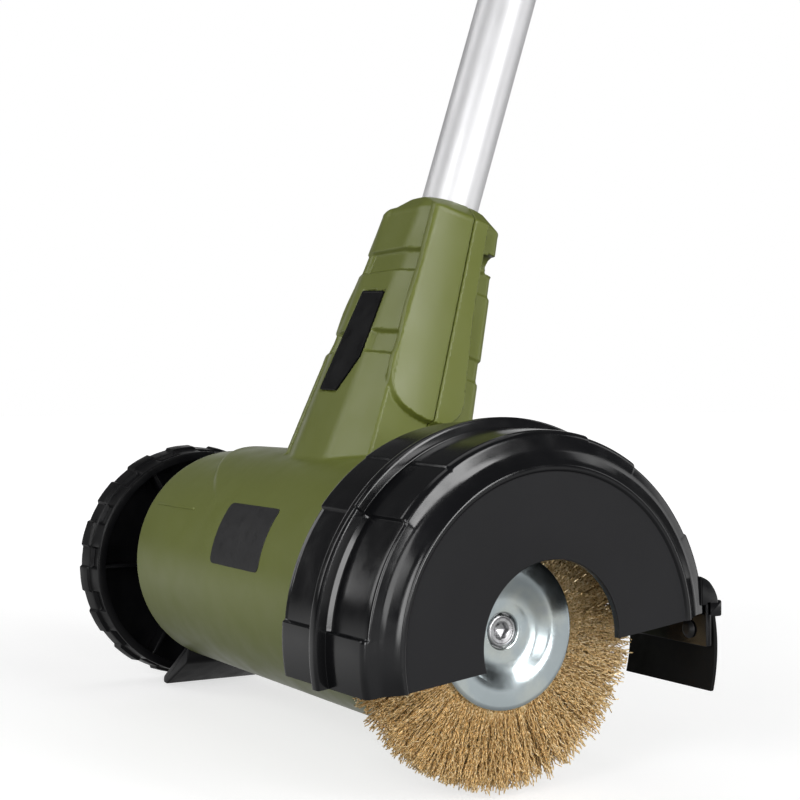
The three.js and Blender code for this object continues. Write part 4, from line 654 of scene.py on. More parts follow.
# Sizes of the neck: at the shoulder, and what they grow by for each millimetre below it
NECK_FRONT = (19.4, 0.098)
NECK_REAR = (16.8, 0.077)
NECK_DEPTH = (20.0, 0.128)
NECK_CORNER = (3.0, 0.025)

POCKET_PLACES = ((-17.6, 142), (17.6, 142), (-38, -38), (87, -38))
POCKET_RADIUS = 4.4
POCKET_FLOOR = 8.0
NOTCH_FLOOR = 12.8


def ramp(value, start, end):
    """0 before start, 1 after end, smooth between."""
    share = np.clip((value - start) / (end - start), 0, 1)
    return share * share * (3 - 2 * share)


def closing(size, drop, shrink, rim=RIM_RADIUS):
    """A size of the neck, which grows below the shoulder and closes to the rim above it."""
    return (size[0] + size[1] * drop) * (1 - shrink) + rim * shrink


def neck_field(along, across, up):
    """The tapered neck with its pads and finger dents, and its plain inside, in the stem's frame."""
    drop = np.clip(SHOULDER_LEVEL - up, 0, SHOULDER_LEVEL - NECK_FOOT)
    over = soft_max((up - DOME_LEVEL) / (RIM_LEVEL - DOME_LEVEL), np.zeros_like(up), 0.15)
    shrink = np.minimum(over, 1)
    front, rear, deep = [closing(size, drop, shrink) for size in (NECK_FRONT, NECK_REAR, NECK_DEPTH)]
    corner = closing(NECK_CORNER, drop, shrink, RIM_RADIUS - 1)
    plain = round_box(along - (rear - front) / 2, across, (front + rear) / 2, deep, corner)
    start = np.where(across < 0, *FACET_START)
    facet = FACET_SLOPE * (np.abs(across) - start) - along - front
    plain = soft_max(plain, facet / math.hypot(1, FACET_SLOPE), 0.8)
    value = plain.copy()
    near = (np.abs(plain) < 5) & (up > 40)
    if near.any():
        a, w, s = along[near], across[near], up[near]
        front, deep = front[near], deep[near]
        pad = ramp(inside_outline(a, s, PAD_EDGE), 0, PAD_BEVEL) * (1 - shrink[near])
        lip = np.where(w < 0, *PAD_LIP)
        pad *= ramp(np.abs(w), deep - lip, deep - 0.8)
        crown = PAD_CROWN * np.clip(1 - ((a - CROWN_MIDDLE) / CROWN_REACH) ** 2, 0, 1)
        dent = sum(
            ramp(s, low - DENT_EASE, low + DENT_EASE) * (1 - ramp(s, high - DENT_EASE, high + DENT_EASE))
            for low, high in DENTS
        )
        inside = np.where(a < -12, inside_outline(w, s, PLATE_OUTLINE), -9)
        plate = ramp(inside, -0.8, -0.2)
        dent *= ramp(-inside, 0.6, 3.0) * (1 - 0.6 * ramp(a, -4, 8))
        pad *= 1 - 0.35 * dent * ramp(w, 5, 10) * ramp(-a, 13, 16)
        heel = np.hypot(a + front - HEEL_PLACE[0], w - deep + HEEL_PLACE[1])
        ridge = (1 - ramp(heel, *HEEL_EDGE)) * (w > 0) * (1 - ramp(s, *HEEL_FADE))
        value[near] += DENT_DEPTH * dent * (1 - pad) - (PAD_RISE + crown) * pad
        value[near] += PLATE_SINK * (plate - ridge)
    return value, plain + DENT_DEPTH + BODY_WALL


def housing_field(x, y, z):
    """The whole moulded body: barrel, saddle, neck, cavities and screw pockets."""
    level = z - BODY_LIFT
    radius = np.hypot(x, level)
    barrel = soft_max(radius - BODY_RADIUS, y - BODY_END, 2.2)
    crest = np.hypot(x, level - SADDLE_LIFT) - SADDLE_RADIUS
    rake = (y - SADDLE_END + SADDLE_RAKE * (SADDLE_TOP - level)) / math.hypot(1, SADDLE_RAKE)
    barrel = soft_min(barrel, soft_max(crest, rake, 2.5), 0.6)
    barrel = np.maximum(barrel, BODY_FRONT - y)
    along = x * math.cos(STEM_LEAN) - level * math.sin(STEM_LEAN)
    up = x * math.sin(STEM_LEAN) + level * math.cos(STEM_LEAN)
    across = y - STEM_Y
    neck, inner = neck_field(along, across, up)
    inner = np.maximum(inner, up - SHOULDER_LEVEL + 4)
    neck = soft_max(neck, up - RIM_LEVEL, 1.0)
    body = soft_min(barrel, np.maximum(neck, 10 - up), 1.3)
    cavity = np.maximum(radius - BODY_RADIUS + BODY_WALL, BODY_FRONT + 3 - y)
    cavity = np.minimum(cavity, np.maximum(inner, -up))
    body = np.maximum(body, -cavity)
    room = np.maximum(np.hypot(along, across) - TUBE_ROOM, 60 - up)
    body = soft_max(body, -room, 0.8)
    body = np.maximum(body, -np.maximum(np.hypot(x, z) - SPINDLE_ROOM, y - 40))
    for place, height in POCKET_PLACES:
        pocket = np.maximum(np.hypot(across - place, up - height) - POCKET_RADIUS, POCKET_FLOOR - along)
        body = soft_max(body, -pocket, 0.7)
    place, height = POCKET_PLACES[1]
    notch = np.hypot(np.minimum(np.abs(across) - place, 0), up - height) - POCKET_RADIUS
    body = soft_max(body, -np.maximum(notch, NOTCH_FLOOR - along), 0.7)
    return body, along


def front_half(x, y, z):
    """The housing in front of the seam."""
    body, along = housing_field(x, y, z)
    return soft_max(body, along + SEAM_HALF, 0.7)


def rear_half(x, y, z):
    """The housing behind the seam."""
    body, along = housing_field(x, y, z)
    return soft_max(body, SEAM_HALF - along, 0.7)


def mould_rib():
    """The thin raised line on the barrel."""
    start, end = RIB_SPAN
    section = rounded([(49.3, start), (50.05, start + 0.4), (50.05, end - 0.4), (49.3, end)], 0.3)
    return lathe(section, 3, RIB_ANGLES)


def skin_step(sizes):
    step = sizes.skin_step / MILLIMETRE
    return step


class WEEDBRUSH_OT_housing(bpy.types.Operator):
    """Make the two moulded shells of the body and neck"""

    bl_idname = "weedbrush.housing"
    bl_label = "Housing shells"

    def execute(self, context):
        step = skin_step(context.scene.weed_brush_sizes)
        for side, half, (low, high) in (("front", front_half, FRONT_BOX), ("rear", rear_half, REAR_BOX)):
            build(f"{side}_shell", [skin(half, low, high, step)], HEAD, "olive_moulding", "head",
                  [f"housing_{side}_shell"])
        build("mould_line", [mould_rib()], BODY, "olive_moulding", "head", ())
        return {"FINISHED"}


# Name plate and rating label
def plate_points(outline, level, grow):
    """The name plate's outline lifted off the neck's raked front."""
    flat = inset(np.asarray(outline, float), -grow)
    size, growth = NECK_FRONT
    face = size + growth * (SHOULDER_LEVEL - flat[:, 1])
    return np.insert(flat, 0, -face - level, axis=1)


class WEEDBRUSH_OT_plates(bpy.types.Operator):
    """Make the blank name plate and the plain rating label"""

    bl_idname = "weedbrush.plates"
    bl_label = "Name plate and label"

    def execute(self, context):
        outline = stepped(rounded(PLATE_OUTLINE, 1.2, 5), 2)
        rows = [(-0.75, 0.0), (0.25, 0.0), (0.45, -0.25), (0.45, -0.9), (0.3, -1.1)]
        rings = [plate_points(outline, level, grow) for level, grow in rows]
        plate = grid(np.array(rings), caps=True)
        build("name_panel", [plate], STEM, "black_satin", "head", ["name_plate"])
        build("rating_film", label_parts(), BODY, "label_film", "head",
              ["rating_label"], 20)
        return {"FINISHED"}


LABEL_SPAN = (99.8, 146.3)
LABEL_ANGLES = (180 - 38.6, 180 - 7.5)
LABEL_THICKNESS = 0.22


def label_parts():
    """A thin film bent round the barrel, with round corners."""
    half_y = (LABEL_SPAN[1] - LABEL_SPAN[0]) / 2
    half_arc = math.radians(LABEL_ANGLES[1] - LABEL_ANGLES[0]) / 2 * BODY_RADIUS
    flat = stepped(rounded(
        [(-half_arc, -half_y), (half_arc, -half_y), (half_arc, half_y), (-half_arc, half_y)], 3, 6
    ), 1.5)
    middle = math.radians(sum(LABEL_ANGLES) / 2)
    shares = (0.994, 0.9, 0.75, 0.6, 0.45, 0.3, 0.15, 0.02)
    rings = []
    for share, lift in [(1.0, -0.4), (1.0, 0.1)] + [(share, LABEL_THICKNESS) for share in shares]:
        angle = middle + flat[:, 0] * share / BODY_RADIUS
        radius = BODY_RADIUS + lift
        level = sum(LABEL_SPAN) / 2 + flat[:, 1] * share
        rings.append(np.stack([radius * np.cos(angle), level, radius * np.sin(angle)], axis=1))
    return [grid(np.array(rings), caps=True)]


# Hood
CUT_TILT = math.radians(7.4)
CUT_DROP = 4.264
STEPS = [(28.4, 0.0, -1.3), (56.8, -1.3, 0.0), (75.0, 0.0, 0.6),
         (123.0, 0.6, 0.0), (142.5, 0.0, -1.3), (175.6, -1.3, 0.0)]
STEP_HALF = 0.42
HOOD_SECTION = [
    (27.6, -24.5, 0, 0, 0.4), (27.6, -27.3, 0, 0, 0.5), (57.2, -27.3, 0, 0, 0.3),
    (57.7, -28.1, 0, 0, 0.4), (59.3, -28.1, 0, 0, 0.5), (60.8, -26.6, 0, 0, 0.9),
    (64.7, -24.0, 0, 0, 1.4), (69.3, -23.2, 0.4, 0, 1.0), (70.3, -21.4, 1, 0, 1.2),
    (70.9, -0.6, 1, 0, 0.3), (71.0, 0.8, 0, 0, 0.2), (71.0, 1.8, 0, 1, 0.4),
    (74.95, 1.8, 0, 1, 1.3), (74.95, 6.0, 0, 0, 1.3), (71.4, 6.0, 0, 0, 0.4),
    (71.4, 7.0, 0, 0, 0.2), (71.5, 8.2, 1, 0, 0.3), (72.2, 29.4, 1, 0, 0.3),
    (72.2, 31.2, 0.6, 0, 0.9), (20.0, 31.2, 0, 0, 0.4), (20.0, 28.4, 0, 0, 0.4),
    (69.2, 28.4, 0, 0, 1.0), (67.4, -20.8, 0, 0, 1.0), (64.0, -21.2, 0, 0, 1.0),
    (60.5, -24.3, 0, 0, 1.0), (56.0, -24.5, 0, 0, 1.0),
]
FIN_JOG = -0.9
FIN_JOG_AT = 142.5


def hood_angles():
    """Columns of the hood, close together at each step."""
    stops = {float(angle) for angle in np.arange(6.0, 189.3, 1.5)}
    for angle, _, _ in STEPS:
        stops = {stop for stop in stops if abs(stop - angle) > 1.2}
        for offset in (STEP_HALF / 2, STEP_HALF, 1.0):
            stops |= {angle - offset, angle, angle + offset}
    return np.array(sorted(stops))


def step_height(angle):
    """How far the band stands out at an angle."""
    xs, ys = [0.0], [0.0]
    for centre, before, after in STEPS:
        xs += [centre + share * STEP_HALF for share in (-1, -0.5, 0.5, 1)]
        span = after - before
        ys += [before, before + 0.12 * span, after - 0.12 * span, after]
    return np.interp(angle, xs + [200.0], ys + [0.0])


def hood_shell():
    """The hood's shell, swept round the spindle between the ends of the slanting cut."""
    corners = [corner[:4] for corner in HOOD_SECTION]
    section = rounded(corners, [corner[4] for corner in HOOD_SECTION], 4)
    inner = hood_angles()
    columns = []
    for radius, level, weight, jog in section:
        tilt = math.degrees(CUT_TILT)
        reach = math.degrees(math.asin(CUT_DROP / radius))
        first, last = tilt - reach, 180 + tilt + reach
        ends = [first + (inner[0] - first) * share for share in (0, 0.05, 0.4)]
        tails = [last + (inner[-1] - last) * share for share in (0.4, 0.05, 0)]
        angles = np.concatenate([ends, inner, tails])
        size = radius + weight * step_height(angles)
        shift_y = level + jog * FIN_JOG * ramp(angles, FIN_JOG_AT - 0.5, FIN_JOG_AT + 0.5)
        turn = np.radians(angles)
        columns.append(np.stack([size * np.cos(turn), shift_y, size * np.sin(turn)], axis=1))
    return grid(np.array(columns), wrap_rows=True, wrap_columns=False, caps=True)


TAB_FACE = 72.2
FLAP_SIDE = 24.0
LEDGE_TOP = 8.8
LEDGE_FOOT = 2.9
LEDGE_TIP = 77.4
FLAP_HEAD = 3.3
FLAP_FACE = 72.5
FLAP_LENGTH = 27
FLAP_THICKNESS = 1.6
GUSSET_HEIGHT = 9.0
GUSSET_WIDTH = 2.4
RIVET_PLACE = 75.6
RIVET_LEVEL = -2.2
FACE_LEVEL = -27.0
FACE_RADIUS = 57.3


def flap_bracket():
    """The ledge over the flap, its tab and its two gussets."""
    ledge = box((69.8, -FLAP_SIDE, LEDGE_FOOT), (LEDGE_TIP, FLAP_SIDE, LEDGE_TOP), 0.9)
    tab = box((69.8, -FLAP_SIDE, FLAP_HEAD - 11), (TAB_FACE, FLAP_SIDE, LEDGE_TOP), 0.5)
    outline = rounded([
        (67.4, LEDGE_TOP - 1.5), (75.4, LEDGE_TOP - 1.5), (75.4, LEDGE_TOP + 0.6),
        (74.2, LEDGE_TOP + 3.6), (71.2, LEDGE_TOP + 7.4), (67.4, LEDGE_TOP + GUSSET_HEIGHT),
    ], [0.3, 0.8, 0.8, 3, 3, 0.3])
    starts = (-FLAP_SIDE, FLAP_SIDE - GUSSET_WIDTH)
    gussets = [slab(outline, start, start + GUSSET_WIDTH, 0.5) for start in starts]
    return [ledge, tab, *gussets]


class WEEDBRUSH_OT_hood(bpy.types.Operator):
    """Make the half-round hood over the brush"""

    bl_idname = "weedbrush.hood"
    bl_label = "Hood"

    def execute(self, context):
        hub = pipe(20, 34, 28.4, 31.2, 0.6, 72)
        hood = build("hood", [hood_shell(), hub, *flap_bracket()], HEAD, "black_gloss", "head",
                     ["guard"], 24, ["black_grained"])

        def flat_face(point, normal):
            """Whether a face belongs to the grained front."""
            reach = math.hypot(point.x, point.z)
            return normal.y < -0.9 and point.y < FACE_LEVEL and reach < FACE_RADIUS

        shade_where(hood, 1, flat_face)
        return {"FINISHED"}


class WEEDBRUSH_OT_flap(bpy.types.Operator):
    """Make the rubber flap behind the hood, and its rivets"""

    bl_idname = "weedbrush.flap"
    bl_label = "Flap"

    def execute(self, context):
        levels = np.linspace(FLAP_HEAD, FLAP_HEAD - FLAP_LENGTH, 28)
        fall = (FLAP_HEAD - levels) / FLAP_LENGTH
        bow = fall * (5.0 - 5.9 * fall)
        outer = np.stack([FLAP_FACE + FLAP_THICKNESS + bow, levels], axis=1)
        inner = np.stack([FLAP_FACE + bow, levels], axis=1)
        outline = rounded(np.concatenate([outer, inner[::-1]]), 0.4, 2)
        sheet = slab(outline, -FLAP_SIDE, FLAP_SIDE, 0.35, 2)
        build("flap", [sheet], HEAD, "rubber", "head", ["debris_flap"])
        rivet = turned([
            (0, -1.6), (1.8, -1.6), (3.6, 0), (2, 0.1), (2, 6.2), (3.6, 6.3), (1.8, 7.7), (0, 7.7),
        ], 0.5, 24, closed=False)
        for index, y in enumerate((-15, 15)):
            place = HEAD @ shift(RIVET_PLACE, y, RIVET_LEVEL) @ QUARTER
            build(f"rivet_{index + 1}", [rivet], place, "blackened_steel",
                  "head", [f"flap_rivet_{index + 1}"])
        return {"FINISHED"}


# Brush
DISC_THICKNESS = 1.45
WIRE_ROOT = 26.0
WIRE_TIP = 56.6
WIRE_POINTS = 15
WIRE_SIDES = 3
WIRE_MIDDLE = 8.5
WIRE_SPREAD = 6.6
WIRE_FLARE = 2.4
WIRE_LEAN = 0.085
WIRE_SPLAY = 1.1
WORN_LENGTH = 5.5
TUFTS = 22
TUFT_DEPTH = 0.8
INNER_DISC = 18.4
WIRE_LIMITS = (-1.0, 18.2)
WAVE_LENGTHS = (3.0, 5.2)
SEED = 7


def disc_section(face, side):
    """The dished disc's section. side is 1 for the outer disc and -1 for the inner one."""
    line = [
        (6.2, 2.9), (11.4, 2.9), (14.0, 2.5), (16.5, 1.3), (18.6, 0.35), (20.6, 0), (26.4, 0), (27.6, 0.3),
    ]
    front = [(radius, face + side * level) for radius, level in line]
    back = [(radius, face + side * (level + DISC_THICKNESS)) for radius, level in line[::-1]]
    return rounded(front + back, 1.1, 5)


def wire_mesh(sizes):
    """All the crimped wires, from the ring between the discs to their tips."""
    rng = np.random.default_rng(SEED)
    count = sizes.wires
    radius = sizes.wire_thickness / MILLIMETRE / 2
    crimp = sizes.crimp / MILLIMETRE
    angle = rng.uniform(0, 2 * math.pi, count)
    place = rng.uniform(-1, 1, count)
    worn = rng.uniform(0, 1, count) ** 1.6 * WORN_LENGTH
    tip = WIRE_TIP - worn - TUFT_DEPTH * np.sin(TUFTS // 2 * angle) ** 2
    share = np.linspace(0, 1, WIRE_POINTS)[None, :]
    reach = WIRE_ROOT + (tip - WIRE_ROOT)[:, None] * share
    wave = rng.uniform(*WAVE_LENGTHS, count)[:, None]
    phase = rng.uniform(0, 2 * math.pi, (count, 1))
    spin = rng.uniform(0, 2 * math.pi, (count, 1))
    swing = crimp * np.sin(2 * math.pi * reach / wave + phase)
    lean = rng.normal(0, WIRE_LEAN, (count, 1)) * share ** 1.2
    splay = rng.normal(0, WIRE_SPLAY, (count, 1)) * share ** 2
    depth = WIRE_MIDDLE + place[:, None] * (WIRE_SPREAD + WIRE_FLARE * share ** 1.5) + splay
    depth = np.clip(depth + swing * np.sin(spin), *WIRE_LIMITS)
    turn = angle[:, None] + lean + swing * np.cos(spin) / reach
    spine = np.stack([reach * np.cos(turn), depth, reach * np.sin(turn)], axis=-1)
    tangent = np.gradient(spine, axis=1)
    tangent /= np.linalg.norm(tangent, axis=-1, keepdims=True)
    side = np.cross(tangent, np.array([0.0, 1.0, 0.0]))
    side /= np.linalg.norm(side, axis=-1, keepdims=True)
    other = np.cross(tangent, side)
    rings = [
        spine + radius * (math.cos(t) * side + math.sin(t) * other)
        for t in [2 * math.pi * index / WIRE_SIDES for index in range(WIRE_SIDES)]
    ]
    points = np.stack(rings, axis=2)
    first = np.arange(count) * WIRE_POINTS * WIRE_SIDES
    last = (first + (WIRE_POINTS - 1) * WIRE_SIDES).tolist()
    base = first[:, None, None] + np.arange(WIRE_POINTS - 1)[None, :, None] * WIRE_SIDES
    j = np.arange(WIRE_SIDES)[None, None, :]
    ahead = (j + 1) % WIRE_SIDES
    quads = np.stack([base + j, base + ahead, base + WIRE_SIDES + ahead, base + WIRE_SIDES + j], -1)
    ends = [[f + 2, f + 1, f] for f in first.tolist()] + [[f, f + 1, f + 2] for f in last]
    return points.reshape(-1, 3), quads.reshape(-1, 4).tolist() + ends


class WEEDBRUSH_OT_brush(bpy.types.Operator):
    """Make the wire brush with its discs, bush and screw"""

    bl_idname = "weedbrush.brush"
    bl_label = "Brush"

    def execute(self, context):
        sizes = context.scene.weed_brush_sizes
        for side, face, way in (("outer", 0, 1), ("inner", INNER_DISC, -1)):
            build(f"{side}_disc", [lathe(disc_section(face, way), 180)], HEAD, "zinc_plate", "brush",
                  [f"brush_disc_{side}"], 40)
        core = turned([(21.6, 2.6), (29, 2.6), (36, 5.5), (36, 11.6), (29, 14.6), (21.6, 14.6)], 1.5)
        build("wires", [wire_mesh(sizes), core], HEAD, "brassed_wire", "brush",
              ["brush_wires"], 50)
        build("screw", [screw_head()], HEAD, "turned_steel", "brush", ["arbor_screw"])
        return {"FINISHED"}


def screw_head():
    """The clamping screw: a turned ring round a hexagonal socket."""
    rows = [
        (0, 21.0, 0), (2.6, 21.0, 0), (3.0, 20.6, 0), (3.0, 7.2, 0), (5.8, 7.2, 0), (5.8, 3.7, 0),
        (5.3, 3.1, 0), (4.7, 3.1, 0), (4.5, 3.6, 0), (3.3, 3.6, 0), (2.8, 4.0, 1), (2.8, 6.0, 1),
        (2.4, 6.1, 1), (0, 7.3, 0),
    ]
    rows = rounded(rows, [0, .2, .2, .2, .3, .4, .3, .2, .15, .2, .15, .15, .2, 0], 3, closed=False)
    angles = np.linspace(0, 2 * math.pi, 72, endpoint=False)
    hexagon = math.cos(math.pi / 6) / np.cos((angles % (math.pi / 3)) - math.pi / 6)
    radius = rows[:, :1] * (1 + rows[:, 2:] * (hexagon * 1.06 - 1))
    return grid(about_axis(radius, rows[:, 1], angles))


# Wheel
PLATE_FACE = 234.6
WHEEL_RIBS = 6
WHEEL_PITCHES = 16
TREAD_RISE = 1.05
TREAD_SINK = 1.6
PITCH_STOPS = (0.0, 0.03, 0.06, 0.3, 0.54, 0.57, 0.6, 0.8)


def wheel_shell():
    """The cup-shaped wheel with its two rows of tread blocks."""
    corners = [
        (5.4, 262.3, 0, 0), (12, 262.3, 0, 0), (12, 279.5, 0, 0), (52.6, 279.5, 0, 0),
        (51.2, 267.5, 0, 0), (54.9, 267.5, 0, 0), (55.1, 269.2, 0, 0), (55.15, 269.8, 0, 1),
        (55.8, 276.4, 0, 1), (55.9, 277.0, 0, 0), (56.1, 278.0, 0, 0), (56.2, 278.6, 1, 0),
        (57.0, 286.6, 1, 0), (56.6, 287.3, 0.6, 0), (52.6, 287.3, 0, 0), (52.4, 282.5, 0, 0),
        (17.6, 282.5, 0, 0), (17.6, 287.3, 0, 0), (15.4, 287.3, 0, 0), (15.4, 283.2, 0, 0),
        (5.4, 283.2, 0, 0),
    ]
    radii = [0.3, 0.6, 2.0, 1.5, 0.3, 0.8, 0.1, 0.1, 0.1, 0.1, 0.1, 0.1, 0.4, 0.4, 0.6, 1.5, 1.0,
             0.6, 0.4, 0.3, 0.3]
    rows = rounded(corners, radii, 3)
    pitch = 2 * math.pi / WHEEL_PITCHES
    phase = np.concatenate([np.array(PITCH_STOPS) + k for k in range(WHEEL_PITCHES)])
    fine = np.sort(np.concatenate([phase, phase + 0.015, phase[3::8] + 0.12, phase[7::8] + 0.1]))
    share = fine % 1.0
    pad = np.interp(share, (0.0, 0.045, 0.555, 0.6, 1.0), (0.0, 1.0, 1.0, 0.0, 0.0))
    far = (share + 0.5) % 1.0
    pocket = np.interp(far, (0.0, 0.05, 0.1, 0.5, 0.55, 1.0), (0.0, 0.0, 1.0, 1.0, 0.0, 0.0))
    radius = rows[:, :1] + rows[:, 2:3] * TREAD_RISE * pad - rows[:, 3:] * TREAD_SINK * pocket
    return grid(about_axis(radius, rows[:, 1], fine * pitch), wrap_rows=True)


class WEEDBRUSH_OT_wheel(bpy.types.Operator):
    """Make the guide wheel, its cap, the axle and the carrier"""

    bl_idname = "weedbrush.wheel"
    bl_label = "Wheel"

    def execute(self, context):
        rib = box((10.5, 270.5, -0.9), (52.0, 281, 0.9), 0.4, 2)
        build("wheel", [wheel_shell(), *ring_of(rib, WHEEL_RIBS)], HEAD, "black_satin", "wheel",
              ["guide_wheel"], 28)
        cap = turned([
            (0, 287.5), (13, 287.3), (13, 283.7), (15, 283.7), (15, 288.2), (13.6, 289.3),
            (6.5, 289.3), (6.0, 288.8), (0, 288.8),
        ], [0, .3, .3, .3, .4, .8, .3, .3, 0], 72, closed=False)
        build("hub_cap", [cap], HEAD, "black_gloss", "wheel", ["wheel_cap"])
        axle = turned([
            (0, 228), (8, 228), (8, 231), (5, 231), (5, 283.5), (8, 283.5), (8, 286.5), (0, 286.5),
        ], [0, .5, .5, .2, .2, .5, .5, 0], 40, closed=False)
        build("axle", [axle], HEAD, "turned_steel", "head", ["wheel_axle"])
        spigot = pipe(44, 46.7, 226, PLATE_FACE)
        plate = turned([(0, 231.6), (47.2, 231.6), (47.2, PLATE_FACE), (0, PLATE_FACE)],
                       [0, .5, .8, 0], closed=False)
        boss = turned([(5.3, 232), (13, 232), (12.4, 262), (5.3, 262)], 0.7, 48)
        plate, spigot = [set_in(part, shift(0, 0, BODY_LIFT)) for part in (plate, spigot)]
        ribs = ring_of(box((11, 232, -1), (40, 244, 1), 0.5, 2), WHEEL_RIBS, math.pi / WHEEL_RIBS)
        build("carrier", [plate, spigot, boss, skid_part(), *ribs], HEAD, "black_satin", "head",
              ["wheel_carrier"])
        return {"FINISHED"}


def skid_part():
    """The wedge under the carrier."""
    outline = rounded([(231.5, -36), (234.6, -36), (262, -54), (262, -57), (258, -57.4), (231.5, -43)],
                      [0.5, 2, 2, 1, 3, 3])
    points, faces = slab(outline, -24, 24, 0.8)
    return points[:, [1, 0, 2]], faces


# Pole and lock collar. A tube is its bore radius, outer radius, foot and head.
LOWER_TUBE = (11, 12.5, 62, 760)
UPPER_TUBE = (12.9, 14.4, 600, 1008)
COLLAR_GROOVES = 12
GROOVE_DEPTH = 1.3


class WEEDBRUSH_OT_pole(bpy.types.Operator):
    """Make the telescopic pole and its lock collar"""

    bl_idname = "weedbrush.pole"
    bl_label = "Pole"

    def execute(self, context):
        for name, tube, body, node in (
            ("inner_tube", pipe(*LOWER_TUBE), "head", "lower_tube"),
            ("outer_tube", pipe(*UPPER_TUBE), "handle", "upper_tube"),
        ):
            build(name, [set_in(tube, UPRIGHT)], STEM, "satin_tube", body, [node])
        build("twist_lock", [set_in(collar_part(), UPRIGHT)], STEM, "black_satin", "lock_collar",
              ["lock_collar"], 34)
        return {"FINISHED"}


def collar_part():
    """The lock collar, with grooves for the fingers."""
    corners = [
        (12.9, 566, 0), (16.5, 566, 0), (18.5, 569, 0), (20.4, 575.5, 0), (20.9, 578, 1), (20.9, 618, 1),
        (20.9, 621, 0), (21.0, 624, 0), (19.0, 629, 0), (17.2, 632, 0), (14.8, 632, 0), (14.8, 599.6, 0),
        (12.9, 599.6, 0),
    ]
    rows = rounded(corners, [.3, .8, 2, 2, 1, 1, .5, 1, 1, .6, .3, .3, .3], 4)
    angles = np.linspace(0, 2 * math.pi, 144, endpoint=False)
    groove = np.clip(np.cos(COLLAR_GROOVES * angles) * 1.6 - 0.4, 0, 1)
    radius = rows[:, :1] - rows[:, 2:] * GROOVE_DEPTH * groove
    return grid(about_axis(radius, rows[:, 1], angles), wrap_rows=True)


# Front handle
TUBE_CLEAR = 14.7
CLAMP_RADIUS = 21.3
CLAMP_HALF = 17.8
LUG_RADIUS = 9.8
LUG_HALF = 13.8
SPLIT_HALF = 0.8
BOLT_ROOM = 4.4
BOW_RADIUS = 8.3
EYE_STARTS = (14.4, -24.2)
GRIP_PITCH = 6.0
KNOB_LOBES = 6
LOBE_DEPTH = 3.2
GRIP_HEIGHT = 104.0
GRIP_HALF = 29.5
EYE_WIDTH = 9.8


def clamp_field(x, y, z):
    """The split clamp round the pole with its lug."""
    level = z - CLAMP_LEVEL
    ring = soft_max(np.hypot(x, y) - CLAMP_RADIUS, np.abs(level) - CLAMP_HALF, 3)
    lug = np.hypot(np.maximum(-x - LUG_REACH, 0), level) - LUG_RADIUS
    reach = np.where(x < -LUG_REACH, lug, np.abs(level) - LUG_RADIUS)
    ears = soft_max(np.maximum(reach, x + 10), np.abs(y) - LUG_HALF, 1.6)
    body = soft_min(ring, ears, 3)
    body = np.maximum(body, TUBE_CLEAR - np.hypot(x, y))
    body = np.maximum(body, np.where(x < 0, SPLIT_HALF - np.abs(y), -1))
    return np.maximum(body, BOLT_ROOM - np.hypot(x + LUG_REACH, level))


def bow_path():
    """Centre line of the front handle's bow, in its own frame."""
    leg = [
        (19.3, 10), (19.3, 27), (38.9, 47.8), (52.6, 70), (54, 86), (49.4, 98.6), (40, 103.4),
        (28, GRIP_HEIGHT),
    ]
    half = [(0.0, y, z) for y, z in leg]
    return half + [(0.0, 0.0, GRIP_HEIGHT)] + [(0.0, -y, z) for y, z in leg[::-1]]


class WEEDBRUSH_OT_front_handle(bpy.types.Operator):
    """Make the clamp, the tilting bow with its grip, and the knob"""

    bl_idname = "weedbrush.front_handle"
    bl_label = "Front handle"

    def execute(self, context):
        step = skin_step(context.scene.weed_brush_sizes)
        clamp = skin(clamp_field, (-46, -23, 793), (23, 23, 831), step)
        build("clamp", [clamp], STEM, "black_satin", "handle", ["aux_clamp"])
        rod = hose(curve_through(bow_path(), 10), BOW_RADIUS, 36)
        eyes = []
        for start in EYE_STARTS:
            eyes.append(pipe(4.5, 11.9, start, start + EYE_WIDTH, 1.2, 56))
            web = rounded([(-9, 2), (9, 2), (8.3, 28), (-8.3, 28)], 3)
            eyes.append(slab(web, start, start + EYE_WIDTH, 2.5))
        build("bow", [rod, *eyes], BOW, "black_satin", "aux_handle", ["aux_bow"])
        rows = []
        for y in np.linspace(-GRIP_HALF, GRIP_HALF, 119):
            end = ramp(GRIP_HALF - abs(y), 0, 2.2)
            wave = 0.7 * max(0.0, math.cos(2 * math.pi * y / GRIP_PITCH))
            rows.append((8.9 + (3.9 - wave) * end, y))
        section = [(8.6, -GRIP_HALF), *rows, (8.6, GRIP_HALF)]
        grip = set_in(lathe(section, 72), shift(0, 0, GRIP_HEIGHT))
        build("grip_sleeve", [grip], BOW, "rubber", "aux_handle", ["aux_grip"], 45)
        build("knob", knob_parts(), BOLT, "black_satin", "aux_knob", ["aux_knob"], 34)
        return {"FINISHED"}


def knob_parts():
    """The lobed knob and the bolt that it turns."""
    corners = [(0, 24.6, 0), (14.5, 24.6, 0), (16.4, 26.5, 1), (16.9, 33, 1), (16.4, 37.5, 1),
               (13.5, 39.4, 0.6), (6, 39.4, 0), (5, 38.6, 0), (0, 38.6, 0)]
    rows = rounded(corners, [0, 1, 1.5, 2, 2, 2, .5, .5, 0], 4, closed=False)
    angles = np.linspace(0, 2 * math.pi, 120, endpoint=False)
    lobe = 0.5 - 0.5 * np.cos(KNOB_LOBES * angles)
    radius = rows[:, :1] - rows[:, 2:] * LOBE_DEPTH * lobe ** 2
    bolt = turned([(0, -29.4), (7.4, -29.4), (8, -28.6), (8, -24.6), (4, -24.6), (4, 30), (0, 30)],
                  [0, .5, .5, .4, .2, .2, 0], 40, closed=False)
    return [grid(about_axis(radius, rows[:, 1], angles)), bolt]


